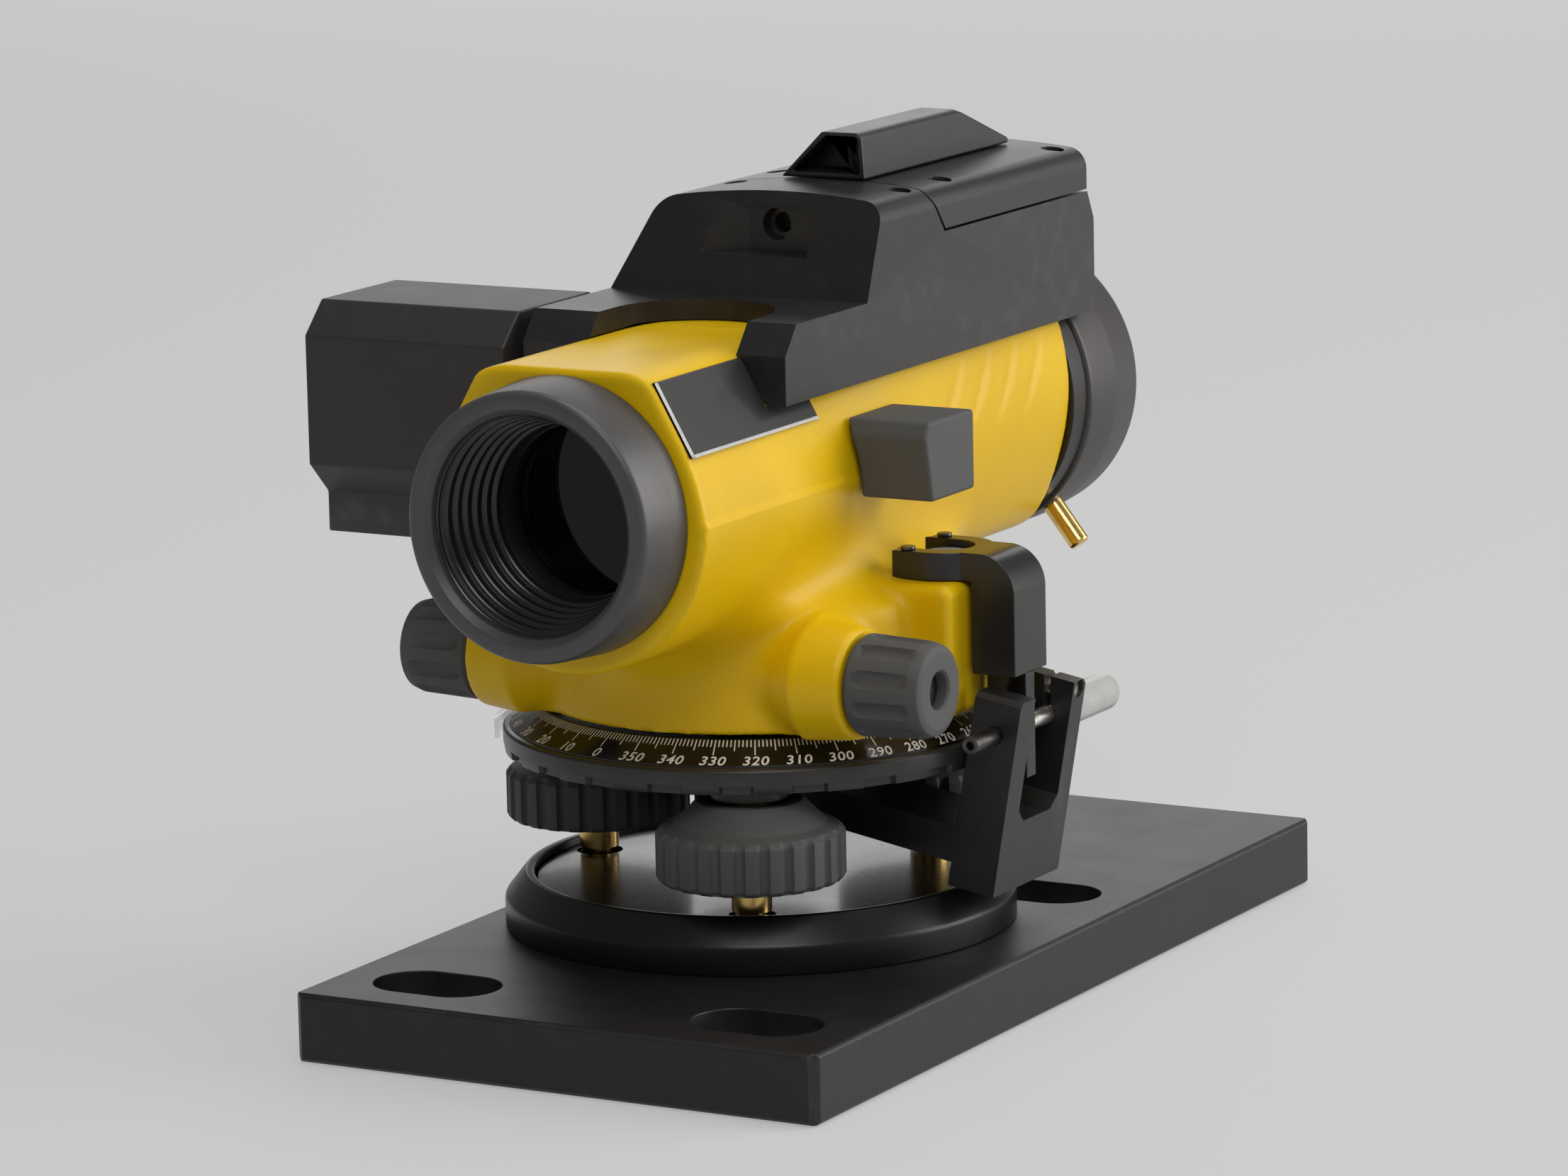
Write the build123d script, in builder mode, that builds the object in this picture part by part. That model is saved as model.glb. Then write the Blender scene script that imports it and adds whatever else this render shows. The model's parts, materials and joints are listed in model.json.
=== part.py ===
from build123d import *
import os
from math import cos, radians, sin, sqrt

# Automatic optical level on a slotted base plate, with a sight saddle, a side
# optics box and a fine azimuth adjuster.  Origin: the vertical axis, at the
# underside of the base plate.  +Z up, the objective looks along -Y, and the
# azimuth adjuster stands on the +X side.  All sizes are in millimetres.

# ---------------------------------------------------------------- driving sizes
# Base plate
plate_width = 134.0
plate_length = 252.0
plate_thickness = 16.0
plate_centre_x = 7.0
plate_centre_y = 18.0
plate_corner = 2.0
plate_edge = 0.8
slot_length = 30.8
slot_width = 19.6
slot_spacing_x = 82.6
slot_spacing_y = 135.0
slot_front_inset = 20.3

# Footplate and its steel spring plate
footplate_r = 59.6
footplate_wall = 6.3
footplate_lip_r = 54.2
footplate_lip_height = 13.0
recess_r = 52.7
recess_floor = 9.4
spring_plate_thickness = 1.2
spring_plate_gap = 0.3

# Tripod thread of the footplate and the screws that fix it to the plate
tripod_thread_r = 7.94
fixing_circle_r = 26.0
fixing_count = 3
fixing_r = 3.0
fixing_head_r = 5.0
fixing_head_height = 5.0
fixing_recess = 0.6
fixing_depth = 7.0

# Foot screws
foot_circle_r = 45.0
foot_first_angle = -63.0
foot_count = 3
foot_knob_r = 21.6
foot_knob_bottom = 35.6
foot_knob_rib_top = 47.6
foot_knob_top = 54.0
foot_knob_collar_r = 11.5
foot_knob_ribs = 24
foot_rib_depth = 1.3
knob_clearance = 1.0
stem_r = 4.6
stem_top_gap = 0.6
ball_r = 3.4
socket_wall = 1.6
tilt_travel = 1.0

# Levelling head and circle
head_disc_r = 52.0
head_disc_bottom = 56.4
head_disc_thickness = 6.6
head_hub_r = 15.0
head_hub_bottom = 39.0
bush_r = 8.85
bush_bottom = 54.4
spindle_r = 11.0
spindle_height = 15.0
circle_r = 59.0
circle_bottom = 57.6
circle_bezel_top = 63.65
band_outer_r = 57.4
band_outer_z = 64.05
band_inner_r = 49.9
band_inner_z = 69.0
circle_wall = 4.2
circle_notches = 22
notch_first_angle = -98.0
notch_width = 7.5
notch_height = 2.0
turning_gap = 0.3

# Telescope
axis_z = 124.7
tube_r = 35.8
tube_top = 157.9
tube_top_half = 16.0
tube_shoulder_x = 22.9
tube_shoulder_z = 154.8
tube_side_x = 34.3
tube_front = -83.5
tube_rear = 96.0
tube_bore_r = 24.0
skirt_r = 50.6
skirt_bottom = 69.3
skirt_shoulder_z = 79.0
skirt_wall = 4.0

# Index window over the circle
window_first_angle = 186.0
window_arc = 24.0
window_wall = 1.2

# Objective hood and lens
hood_r_front = 30.3
hood_r_rear = 31.6
hood_front = -100.6
hood_mouth_r = 24.8
hood_ridges = 7
lens_r = 19.4
lens_y = -77.0
lens_thickness = 6.0

# Rear adapter and eyepiece
rear_ring_r = 34.6
rear_ring_length = 7.0
adapter_r_front = 35.6
adapter_r_rear = 34.3
adapter_length = 29.0
adapter_rim = 7.0
eyepiece_r = 11.0
eyepiece_length = 16.0
eye_ring_r = 15.0
eye_ring_length = 9.0
thumb_screw_r = 2.6
thumb_screw_length = 12.0
thumb_screw_angle = 38.0

# Tangent drive
tangent_y = -37.0
tangent_z = 82.0
tangent_shaft_r = 4.3
tangent_knob_r = 11.6
tangent_knob_end_r = 10.4
tangent_knob_length = 19.0
tangent_end_x = 68.0
tangent_knob_ribs = 10
tangent_boss_r = 12.6

# Focusing drive
focus_y = 22.0
focus_knob_r = 12.5
focus_knob_length = 12.0
focus_shaft_r = 3.0
carriage_r = 20.0
carriage_length = 22.0
carriage_y = -22.0

# Vial ledge, vial and its mirror housing
ledge_x = 57.6
ledge_top = 100.2
ledge_front = -13.0
ledge_rear = 21.0
vial_x = 48.6
vial_y = 3.5
vial_r = 5.2
vial_ring_r = 6.2
vial_height = 4.6
mirror_x = 54.0
mirror_front = -15.5
mirror_rear = 8.0
mirror_bottom = 119.5
mirror_top = 137.8

# Saddle, lid and sight
saddle_half = 34.0
saddle_bottom = 145.0
saddle_front = -43.5
saddle_rear = 109.0
horn_face_top = 156.0
horn_bevel = 5.5
saddle_deck = 162.7
saddle_face_y = -5.0
saddle_face_lean = 9.0
saddle_top = 186.0
saddle_rear_top = 167.4
saddle_left_rise = 161.5
saddle_left_x = -24.2
saddle_left_top = 183.4
saddle_left_fillet = 8.0
saddle_right_top = 184.2
saddle_right_fillet = 5.0
saddle_crown_x = 3.0
pocket_left = -1.5
pocket_right = 16.5
pocket_bottom = 171.6
pocket_top = 182.8
pocket_back = 4.5
pocket_ramp = 1.72
cutout_x = 2.2
cutout_y = -30.5
cutout_r = 19.3
saddle_gap = 0.1
lid_front = 27.0
lid_rear = 105.5
lid_seam_z = 174.8
lid_front_drop = 183.0
lid_front_slant = 6.4
lid_gap = 0.6
lid_screw_r = 2.4
lid_screw_left = -15.0
lid_screw_right = 28.0
lid_screw_front_y = 42.0
lid_screw_rear_y = 99.5
body_screw_y = 22.0
sight_front = 25.4
sight_rear = 98.0
sight_top = 197.0
sight_ridge_rear = 72.0
sight_left_base = -5.0
sight_right = 16.5
sight_left_top = 6.0
sight_bore_r = 3.4
sight_wall = 1.4
sight_depth = 8.0
laser_x = 5.6
laser_z = 178.2
laser_r = 3.6

# Side optics box
box_left = -90.5
box_stand_off = 3.0
box_front = -47.5
box_rear = -8.0
box_top = 162.0
box_bottom = 107.5
box_bevel = 7.5
box_face_bottom = 124.4
box_wall = 3.0
bracket_gap = 0.1

# Label plate; past the saddle's horn it is only as high as the step
label_front = -82.2
label_rear = -24.8
label_horn_front = -43.9
label_step = -0.6
label_thickness = 0.6

# Fork arm and its blade
arm_inner = 59.0
arm_outer = 70.0
arm_front = -4.5
arm_rear = 11.2
arm_bottom = 79.0
arm_top = 106.8
arm_corner_r = 9.0
prong_end = 40.5
prong_width = 4.6
blade_thickness = 4.4
blade_centre_y = 3.8
blade_bottom = 55.0

# Adjuster post, a bracket on the levelling head
post_lean = 10.0
post_foot_x = 60.5
post_foot_z = 29.6
post_width = 11.8
post_front = -10.0
post_rear = 22.5
post_height = 46.4
post_slot_front = -3.0
post_slot_rear = 16.3
post_slot_bottom = 16.5
post_chamfer = 1.2
bracket_rise = 5.5
bracket_thickness = 8.5
bracket_front = -10.0
bracket_rear = 13.0
slit_width = 1.6
screw_axis_x = 67.4
screw_axis_z = 66.5
set_screw_r = 2.0
set_screw_end = -22.0
plunger_pin_r = 2.0
plunger_cap_r = 4.6
plunger_cap_rear = 46.0
pinch_screw_r = 2.0
pinch_screw_z = 72.2
fit_gap = 0.05
touch_gap = 0.15

# ---------------------------------------------------------------- worked-out sizes
fixing_angle = foot_first_angle + 180.0 / fixing_count
plate_front = plate_centre_y - plate_length / 2
slots_y = plate_front + slot_front_inset + slot_spacing_y / 2
footplate_top = plate_thickness + footplate_lip_height
floor_z = plate_thickness + recess_floor
spring_plate_z = floor_z + spring_plate_gap
spring_plate_top = spring_plate_z + spring_plate_thickness
head_disc_top = head_disc_bottom + head_disc_thickness
box_right = -saddle_half - box_stand_off
adapter_front = tube_rear + rear_ring_length
adapter_rear = adapter_front + adapter_length
window_start = radians(window_first_angle)


def facing_front(y):
    """Sketch plane at y, with X across and Z up; it extrudes towards -Y."""
    return Plane.XZ.offset(-y)


def facing_right(x):
    """Sketch plane at x, with Y across and Z up; it extrudes towards +X."""
    return Plane.YZ.offset(x)


def foot_place(index):
    """Centre of one foot screw, counted from the front one."""
    angle = radians(foot_first_angle + index * 360.0 / foot_count)
    return foot_circle_r * cos(angle), foot_circle_r * sin(angle)


def save(part, name):
    """Label a finished piece and write its STEP file."""
    part.label = name
    export_step(part, f"parts/{name}.step")


os.makedirs("parts", exist_ok=True)

# ---------------------------------------------------------------- base plate
with BuildPart() as base_plate:
    with BuildSketch() as base_outline:
        with Locations((plate_centre_x, plate_centre_y)):
            Rectangle(plate_width, plate_length)
        chamfer(base_outline.vertices(), plate_corner)
        with Locations((plate_centre_x, slots_y)):
            with GridLocations(slot_spacing_x, slot_spacing_y, 2, 2):
                SlotOverall(slot_length, slot_width, mode=Mode.SUBTRACT)
    extrude(amount=plate_thickness)
    rims = base_plate.faces().filter_by(Axis.Z).edges().filter_by(GeomType.LINE)
    chamfer([rim for rim in rims if rim.length > slot_length], plate_edge)
    with PolarLocations(fixing_circle_r, fixing_count, start_angle=fixing_angle):
        Cylinder(
            fixing_head_r + 0.4,
            fixing_recess + fixing_head_height,
            align=(Align.CENTER, Align.CENTER, Align.MIN),
            mode=Mode.SUBTRACT,
        )
        Cylinder(fixing_r + 0.3, plate_thickness * 3, mode=Mode.SUBTRACT)
save(base_plate.part, "base_plate")

# ---------------------------------------------------------------- footplate
socket_r = ball_r + 0.3 + socket_wall
with BuildPart() as footplate:
    with BuildSketch(Plane.XZ):
        with BuildLine():
            Polyline(
                (0, plate_thickness),
                (footplate_r, plate_thickness),
                (footplate_r, plate_thickness + footplate_wall),
                (footplate_lip_r, footplate_top),
                (recess_r, footplate_top - 0.2),
                (recess_r, floor_z),
                (0, floor_z),
                close=True,
            )
        make_face()
    revolve(axis=Axis.Z)
    Cylinder(tripod_thread_r, floor_z * 3, mode=Mode.SUBTRACT)
    with PolarLocations(fixing_circle_r, fixing_count, start_angle=fixing_angle):
        Cylinder(fixing_r + 0.05, 2 * (plate_thickness + fixing_depth), mode=Mode.SUBTRACT)
    with PolarLocations(foot_circle_r, foot_count, start_angle=foot_first_angle):
        with Locations((0, 0, plate_thickness + 0.8)):
            Cylinder(
                socket_r + 0.05,
                recess_floor,
                align=(Align.CENTER, Align.CENTER, Align.MIN),
                mode=Mode.SUBTRACT,
            )
save(footplate.part, "footplate")

socket_floor_z = plate_thickness + 2.0
with BuildPart() as foot_sockets:
    with PolarLocations(foot_circle_r, foot_count, start_angle=foot_first_angle):
        with Locations((0, 0, plate_thickness + 0.85)):
            Cylinder(
                socket_r,
                recess_floor - 0.9,
                align=(Align.CENTER, Align.CENTER, Align.MIN),
            )
        with Locations((0, 0, socket_floor_z)):
            Cylinder(
                socket_r - socket_wall,
                recess_floor,
                align=(Align.CENTER, Align.CENTER, Align.MIN),
                mode=Mode.SUBTRACT,
            )
save(foot_sockets.part, "foot_sockets")

with BuildPart() as spring_plate:
    with BuildSketch(Plane.XY.offset(spring_plate_z)):
        Circle(recess_r - 0.8)
        Circle(tripod_thread_r + 4.0, mode=Mode.SUBTRACT)
        with PolarLocations(foot_circle_r, foot_count, start_angle=foot_first_angle):
            Circle(stem_r + 0.8, mode=Mode.SUBTRACT)
    extrude(amount=spring_plate_thickness)
save(spring_plate.part, "spring_plate")

with BuildPart() as fixing_screws:
    with PolarLocations(fixing_circle_r, fixing_count, start_angle=fixing_angle):
        with Locations((0, 0, fixing_recess)):
            Cylinder(
                fixing_head_r,
                fixing_head_height - 0.05,
                align=(Align.CENTER, Align.CENTER, Align.MIN),
            )
            Cylinder(
                fixing_r,
                plate_thickness + fixing_depth - fixing_recess - 0.5,
                align=(Align.CENTER, Align.CENTER, Align.MIN),
            )
            Cylinder(1.9, 3.0, align=(Align.CENTER, Align.CENTER, Align.MIN), mode=Mode.SUBTRACT)
save(fixing_screws.part, "fixing_screws")

# ---------------------------------------------------------------- foot screws
ball_z = socket_floor_z + ball_r + 0.1
stem_bottom_z = ball_z + ball_r + tilt_travel
foot_names = ("a", "b", "c")
for index, foot_name in enumerate(foot_names):
    foot_x, foot_y = foot_place(index)
    with BuildPart() as foot_stem:
        with Locations((foot_x, foot_y, 0)):
            with Locations((0, 0, stem_bottom_z)):
                Cylinder(
                    ball_r - 0.6,
                    spring_plate_top + 1.2 - stem_bottom_z,
                    align=(Align.CENTER, Align.CENTER, Align.MIN),
                )
            with Locations((0, 0, spring_plate_top + 1.2)):
                Cylinder(
                    stem_r,
                    head_disc_top - stem_top_gap - spring_plate_top - 1.2,
                    align=(Align.CENTER, Align.CENTER, Align.MIN),
                )
    save(foot_stem.part, f"foot_stem_{foot_name}")

    with BuildPart() as foot_knob:
        with BuildSketch(Plane.XZ.offset(-foot_y)):
            with BuildLine():
                Polyline(
                    (foot_x + stem_r + fit_gap, foot_knob_bottom),
                    (foot_x + foot_knob_r - 1.0, foot_knob_bottom),
                    (foot_x + foot_knob_r, foot_knob_bottom + 1.0),
                    (foot_x + foot_knob_r, foot_knob_rib_top - 1.0),
                    (foot_x + foot_knob_r - 1.0, foot_knob_rib_top),
                    (foot_x + foot_knob_collar_r + 1.0, foot_knob_top - 1.0),
                    (foot_x + foot_knob_collar_r, foot_knob_top),
                    (foot_x + stem_r + fit_gap, foot_knob_top),
                    close=True,
                )
            make_face()
        revolve(axis=Axis((foot_x, foot_y, 0), (0, 0, 1)))
        with Locations((foot_x, foot_y, foot_knob_bottom)):
            with PolarLocations(foot_knob_r + 0.4, foot_knob_ribs):
                Cylinder(
                    foot_rib_depth,
                    (foot_knob_rib_top - foot_knob_bottom) * 3,
                    mode=Mode.SUBTRACT,
                )
    save(foot_knob.part, f"foot_knob_{foot_name}")

with BuildPart() as foot_balls:
    for index in (0, 1):
        with Locations((*foot_place(index), ball_z)):
            Sphere(ball_r)
save(foot_balls.part, "foot_balls_ab")

with BuildPart() as tilt_ball:
    with Locations((*foot_place(2), ball_z)):
        Sphere(ball_r)
save(tilt_ball.part, "foot_ball_c")

# ---------------------------------------------------------------- levelling head
with BuildPart() as level_head:
    with BuildSketch(Plane.XY.offset(head_disc_bottom)):
        Circle(head_disc_r)
        with PolarLocations(foot_circle_r, foot_count, start_angle=foot_first_angle):
            Circle(bush_r + fit_gap, mode=Mode.SUBTRACT)
    extrude(amount=head_disc_thickness)
    with BuildSketch(Plane.XY.offset(head_hub_bottom)):
        Circle(head_hub_r)
    extrude(amount=head_disc_bottom - head_hub_bottom + 0.5)
    with Locations((0, 0, head_disc_top)):
        Cylinder(spindle_r + fit_gap, 10.0, mode=Mode.SUBTRACT)
save(level_head.part, "level_head")

with BuildPart() as screw_bushes:
    with PolarLocations(foot_circle_r, foot_count, start_angle=foot_first_angle):
        with Locations((0, 0, bush_bottom)):
            Cylinder(
                bush_r,
                head_disc_top - bush_bottom - 0.4,
                align=(Align.CENTER, Align.CENTER, Align.MIN),
            )
            Cylinder(stem_r + fit_gap, 40.0, mode=Mode.SUBTRACT)
save(screw_bushes.part, "screw_bushes")

with BuildPart() as spindle:
    with Locations((0, 0, head_disc_top - 4.9)):
        Cylinder(
            spindle_r,
            spindle_height + 4.9,
            align=(Align.CENTER, Align.CENTER, Align.MIN),
        )
    top_rim = spindle.edges().sort_by(Axis.Z)[-1]
    chamfer(top_rim, 1.0)
save(spindle.part, "spindle")

# ---------------------------------------------------------------- graduated circle
band_slope = (band_inner_z - band_outer_z) / (band_outer_r - band_inner_r)
with BuildPart() as circle_bezel:
    with BuildSketch(Plane.XZ):
        with BuildLine():
            Polyline(
                (circle_r - circle_wall, circle_bottom),
                (circle_r - 0.5, circle_bottom),
                (circle_r, circle_bottom + 0.5),
                (circle_r, circle_bezel_top - 0.6),
                (circle_r - 0.6, circle_bezel_top),
                (band_outer_r + 0.1, circle_bezel_top + 0.2),
                (band_outer_r + 0.1, head_disc_top + turning_gap),
                (circle_r - circle_wall, head_disc_top + turning_gap),
                close=True,
            )
        make_face()
    revolve(axis=Axis.Z)
    with PolarLocations(circle_r, circle_notches, start_angle=notch_first_angle):
        with Locations((0, 0, circle_bottom)):
            Box(2.4, notch_width, notch_height * 2, mode=Mode.SUBTRACT)
save(circle_bezel.part, "circle_bezel")

with BuildPart() as circle_band:
    with BuildSketch(Plane.XZ):
        with BuildLine():
            Polyline(
                (band_outer_r, band_outer_z),
                (band_inner_r, band_inner_z),
                (head_disc_r - 6.0, band_inner_z),
                (head_disc_r - 6.0, head_disc_top + turning_gap + 0.05),
                (band_outer_r, head_disc_top + turning_gap + 0.05),
                close=True,
            )
        make_face()
    revolve(axis=Axis.Z)
save(circle_band.part, "circle_band")

# ---------------------------------------------------------------- housing
tube_side_z = axis_z + sqrt(tube_r**2 - tube_side_x**2)


def tube_outline(grow=0.0):
    """Closed outline of the telescope's outside, grown by a clearance."""
    with BuildSketch(mode=Mode.PRIVATE) as outline:
        with BuildLine():
            Polyline(
                (tube_side_x, tube_side_z),
                (tube_shoulder_x, tube_shoulder_z),
                (tube_top_half, tube_top),
                (-tube_top_half, tube_top),
                (-tube_shoulder_x, tube_shoulder_z),
                (-tube_side_x, tube_side_z),
            )
            ThreePointArc(
                (-tube_side_x, tube_side_z),
                (0, axis_z - tube_r),
                (tube_side_x, tube_side_z),
            )
        make_face()
        if grow:
            offset(amount=grow, kind=Kind.INTERSECTION)
    return outline.sketch


tube_length = tube_rear - tube_front
boss_x = tangent_end_x - tangent_knob_length - 0.4
neck_z = axis_z - 22.0
with BuildPart() as housing:
    with BuildSketch(facing_front(tube_rear)):
        add(tube_outline())
    extrude(amount=tube_length)
    with BuildSketch(Plane.XY.offset(skirt_bottom)):
        Circle(skirt_r)
    with BuildSketch(Plane.XY.offset(skirt_shoulder_z)):
        Circle(skirt_r - 1.6)
    loft()
    with BuildSketch(Plane.XY.offset(skirt_shoulder_z)):
        Circle(skirt_r - 1.6)
    with BuildSketch(Plane.XY.offset(neck_z)):
        Ellipse(27.0, 46.0)
    loft()
    with BuildSketch(Plane.XY.offset(neck_z - 0.2)):
        Ellipse(27.0, 46.0)
    extrude(amount=12.0)
    with BuildSketch(facing_right(-boss_x)):
        with Locations((tangent_y, tangent_z)):
            Circle(tangent_boss_r)
    extrude(amount=2 * boss_x)
    with BuildSketch(Plane.XY.offset(skirt_bottom + 0.7)):
        ledge_y = (ledge_front + ledge_rear) / 2
        with Locations((ledge_x / 2, ledge_y)):
            RectangleRounded(ledge_x, ledge_rear - ledge_front, 5.0)
    extrude(amount=ledge_top - skirt_bottom - 0.7)
    with BuildSketch(Plane.XY.offset(skirt_bottom - 1.0)):
        Circle(skirt_r - skirt_wall)
    extrude(amount=1.0 + head_disc_top + spindle_height + 1.0 - skirt_bottom, mode=Mode.SUBTRACT)
    with BuildSketch(facing_front(tube_rear + 1.0)):
        with Locations((0, axis_z)):
            Circle(tube_bore_r)
    extrude(amount=tube_length + 2.0, mode=Mode.SUBTRACT)
    with BuildSketch(facing_right(-80.0)):
        with Locations((tangent_y, tangent_z)):
            Circle(tangent_shaft_r + fit_gap)
    extrude(amount=160.0, mode=Mode.SUBTRACT)
    with BuildSketch(facing_right(-60.0)):
        with Locations((focus_y, axis_z)):
            Circle(focus_shaft_r + fit_gap)
    extrude(amount=50.0, mode=Mode.SUBTRACT)
save(housing.part, "housing")

with BuildPart() as housing_floor:
    with BuildSketch(Plane.XY.offset(skirt_bottom + 0.3)):
        Circle(skirt_r - skirt_wall - 0.1)
        Circle(spindle_r + fit_gap, mode=Mode.SUBTRACT)
    extrude(amount=2.4)
save(housing_floor.part, "housing_floor")

window_slope = band_slope * (circle_r + 0.8 - skirt_r)
window_plane = Plane(
    origin=(0, 0, 0),
    x_dir=(cos(window_start), sin(window_start), 0),
    z_dir=(sin(window_start), -cos(window_start), 0),
)
with BuildPart() as index_window:
    with BuildSketch(window_plane):
        with BuildLine():
            Polyline(
                (skirt_r + 0.4, skirt_bottom + 0.4),
                (skirt_r + 0.4, skirt_bottom + 0.4 + window_wall),
                (circle_r + 0.8, skirt_bottom + 0.4 + window_wall - window_slope),
                (circle_r + 0.8 + window_wall, skirt_bottom - 0.4 - window_slope + window_wall),
                (circle_r + 0.8 + window_wall, circle_bottom + 2.0),
                (circle_r + 0.8, circle_bottom + 2.0),
                (circle_r + 0.8, skirt_bottom + 0.4 - window_slope),
                close=True,
            )
        make_face()
    revolve(axis=Axis.Z, revolution_arc=window_arc)
save(index_window.part, "index_window")

# ---------------------------------------------------------------- objective
with BuildPart() as hood:
    with BuildSketch(Plane.XY):
        with BuildLine():
            Polyline(
                (lens_r - 0.4, tube_front + 8.0),
                (tube_bore_r - 0.1, tube_front + 8.0),
                (tube_bore_r - 0.1, tube_front - 0.1),
                (hood_r_rear, tube_front - 0.1),
                (hood_r_front, hood_front + 2.2),
                (hood_r_front - 1.6, hood_front),
                (hood_mouth_r + 1.0, hood_front),
                (hood_mouth_r, hood_front + 1.0),
                (hood_mouth_r, hood_front + 3.0),
                (lens_r + 1.4, tube_front + 3.0),
                (lens_r - 0.4, tube_front + 3.0),
                close=True,
            )
        make_face()
    revolve(axis=Axis.Y)
hood_part = Pos(0, 0, axis_z) * hood.part
ridge_pitch = (tube_front + 3.0 - hood_front - 3.0) / hood_ridges
ridge_fall = (hood_mouth_r - lens_r - 1.4) / hood_ridges
for ridge in range(hood_ridges):
    ridge_y = hood_front + 3.0 + (ridge + 0.5) * ridge_pitch
    groove_r = hood_mouth_r - ridge * ridge_fall + 0.2
    groove = Pos(0, ridge_y, axis_z) * Rot(90, 0, 0) * Cylinder(groove_r, ridge_pitch * 0.45)
    hood_part = hood_part - groove
save(hood_part, "objective_hood")

with BuildPart() as lens_cell:
    with BuildSketch(facing_front(lens_y + lens_thickness + 6.0)):
        with Locations((0, axis_z)):
            Circle(tube_bore_r - fit_gap)
            Circle(lens_r + fit_gap, mode=Mode.SUBTRACT)
    extrude(amount=lens_thickness + 4.2)
    with BuildSketch(facing_front(lens_y + lens_thickness + 6.0)):
        with Locations((0, axis_z)):
            Circle(lens_r + 1.0)
            Circle(lens_r - 1.4, mode=Mode.SUBTRACT)
    extrude(amount=2.0)
save(lens_cell.part, "lens_cell")

with BuildPart() as objective_lens:
    with BuildSketch(facing_front(lens_y + lens_thickness + 3.9)):
        with Locations((0, axis_z)):
            Circle(lens_r)
    extrude(amount=lens_thickness - 1.4)
    lens_rim = objective_lens.edges().sort_by(Axis.Y)[0]
    fillet(lens_rim, 1.2)
save(objective_lens.part, "objective_lens")

# ---------------------------------------------------------------- rear adapter and eyepiece
with BuildPart() as rear_ring:
    with BuildSketch(facing_front(adapter_front - 0.1)):
        with Locations((0, axis_z)):
            Circle(rear_ring_r)
            Circle(tube_bore_r, mode=Mode.SUBTRACT)
    extrude(amount=rear_ring_length - 0.2)
save(rear_ring.part, "rear_ring")

thumb_angle = radians(thumb_screw_angle)
thumb_direction = (sin(thumb_angle), 0, -cos(thumb_angle))
thumb_y = adapter_front + 6.0
with BuildPart() as rear_adapter:
    with BuildSketch(Plane.XY):
        with BuildLine():
            Polyline(
                (eyepiece_r + 0.1, adapter_front),
                (adapter_r_front - 1.0, adapter_front),
                (adapter_r_front, adapter_front + 1.0),
                (adapter_r_front, adapter_front + 14.0),
                (adapter_r_rear, adapter_rear - 1.0),
                (adapter_r_rear - 1.0, adapter_rear),
                (adapter_r_rear - adapter_rim, adapter_rear),
                (adapter_r_rear - adapter_rim, adapter_front + 14.0),
                (eyepiece_r + 0.1, adapter_front + 14.0),
                close=True,
            )
        make_face()
    revolve(axis=Axis.Y)
thumb_hole_start = adapter_r_front - 9.0
thumb_plane = Plane(
    origin=(thumb_hole_start * thumb_direction[0], thumb_y, axis_z + thumb_hole_start * thumb_direction[2]),
    x_dir=(0, 1, 0),
    z_dir=thumb_direction,
)
thumb_hole = extrude(thumb_plane * Circle(thumb_screw_r + fit_gap), 20.0)
adapter_part = Pos(0, 0, axis_z) * rear_adapter.part - thumb_hole
save(adapter_part, "rear_adapter")

with BuildPart() as thumb_screw:
    with BuildSketch(thumb_plane.offset(0.5)):
        Circle(thumb_screw_r)
    extrude(amount=8.5 + thumb_screw_length)
    chamfer(thumb_screw.edges().filter_by(GeomType.CIRCLE), 0.5)
save(thumb_screw.part, "thumb_screw")

eyepiece_rear = adapter_front + 14.0 + eyepiece_length
with BuildPart() as eyepiece_tube:
    with BuildSketch(facing_front(eyepiece_rear)):
        with Locations((0, axis_z)):
            Circle(eyepiece_r)
            Circle(eyepiece_r - 2.5, mode=Mode.SUBTRACT)
    extrude(amount=eyepiece_length + 24.0)
save(eyepiece_tube.part, "eyepiece_tube")

with BuildPart() as eyepiece_ring:
    with BuildSketch(facing_front(eyepiece_rear + 1.5)):
        with Locations((0, axis_z)):
            Circle(eye_ring_r)
            Circle(eyepiece_r + fit_gap, mode=Mode.SUBTRACT)
            with PolarLocations(eye_ring_r + 0.3, 20):
                Circle(0.9, mode=Mode.SUBTRACT)
    extrude(amount=eye_ring_length)
save(eyepiece_ring.part, "eyepiece_ring")

with BuildPart() as eye_lens:
    with BuildSketch(facing_front(eyepiece_rear - 1.0)):
        with Locations((0, axis_z)):
            Circle(eyepiece_r - 2.6)
    extrude(amount=3.0)
save(eye_lens.part, "eye_lens")

with BuildPart() as reticle:
    with BuildSketch(facing_front(adapter_front - 12.0)):
        with Locations((0, axis_z)):
            Circle(eyepiece_r - 2.6)
    extrude(amount=1.6)
save(reticle.part, "reticle")

# ---------------------------------------------------------------- tangent drive
with BuildPart() as tangent_shaft:
    with BuildSketch(facing_right(-tangent_end_x + 3.0)):
        with Locations((tangent_y, tangent_z)):
            Circle(tangent_shaft_r)
    extrude(amount=2 * (tangent_end_x - 3.0))
save(tangent_shaft.part, "tangent_shaft")

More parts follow.
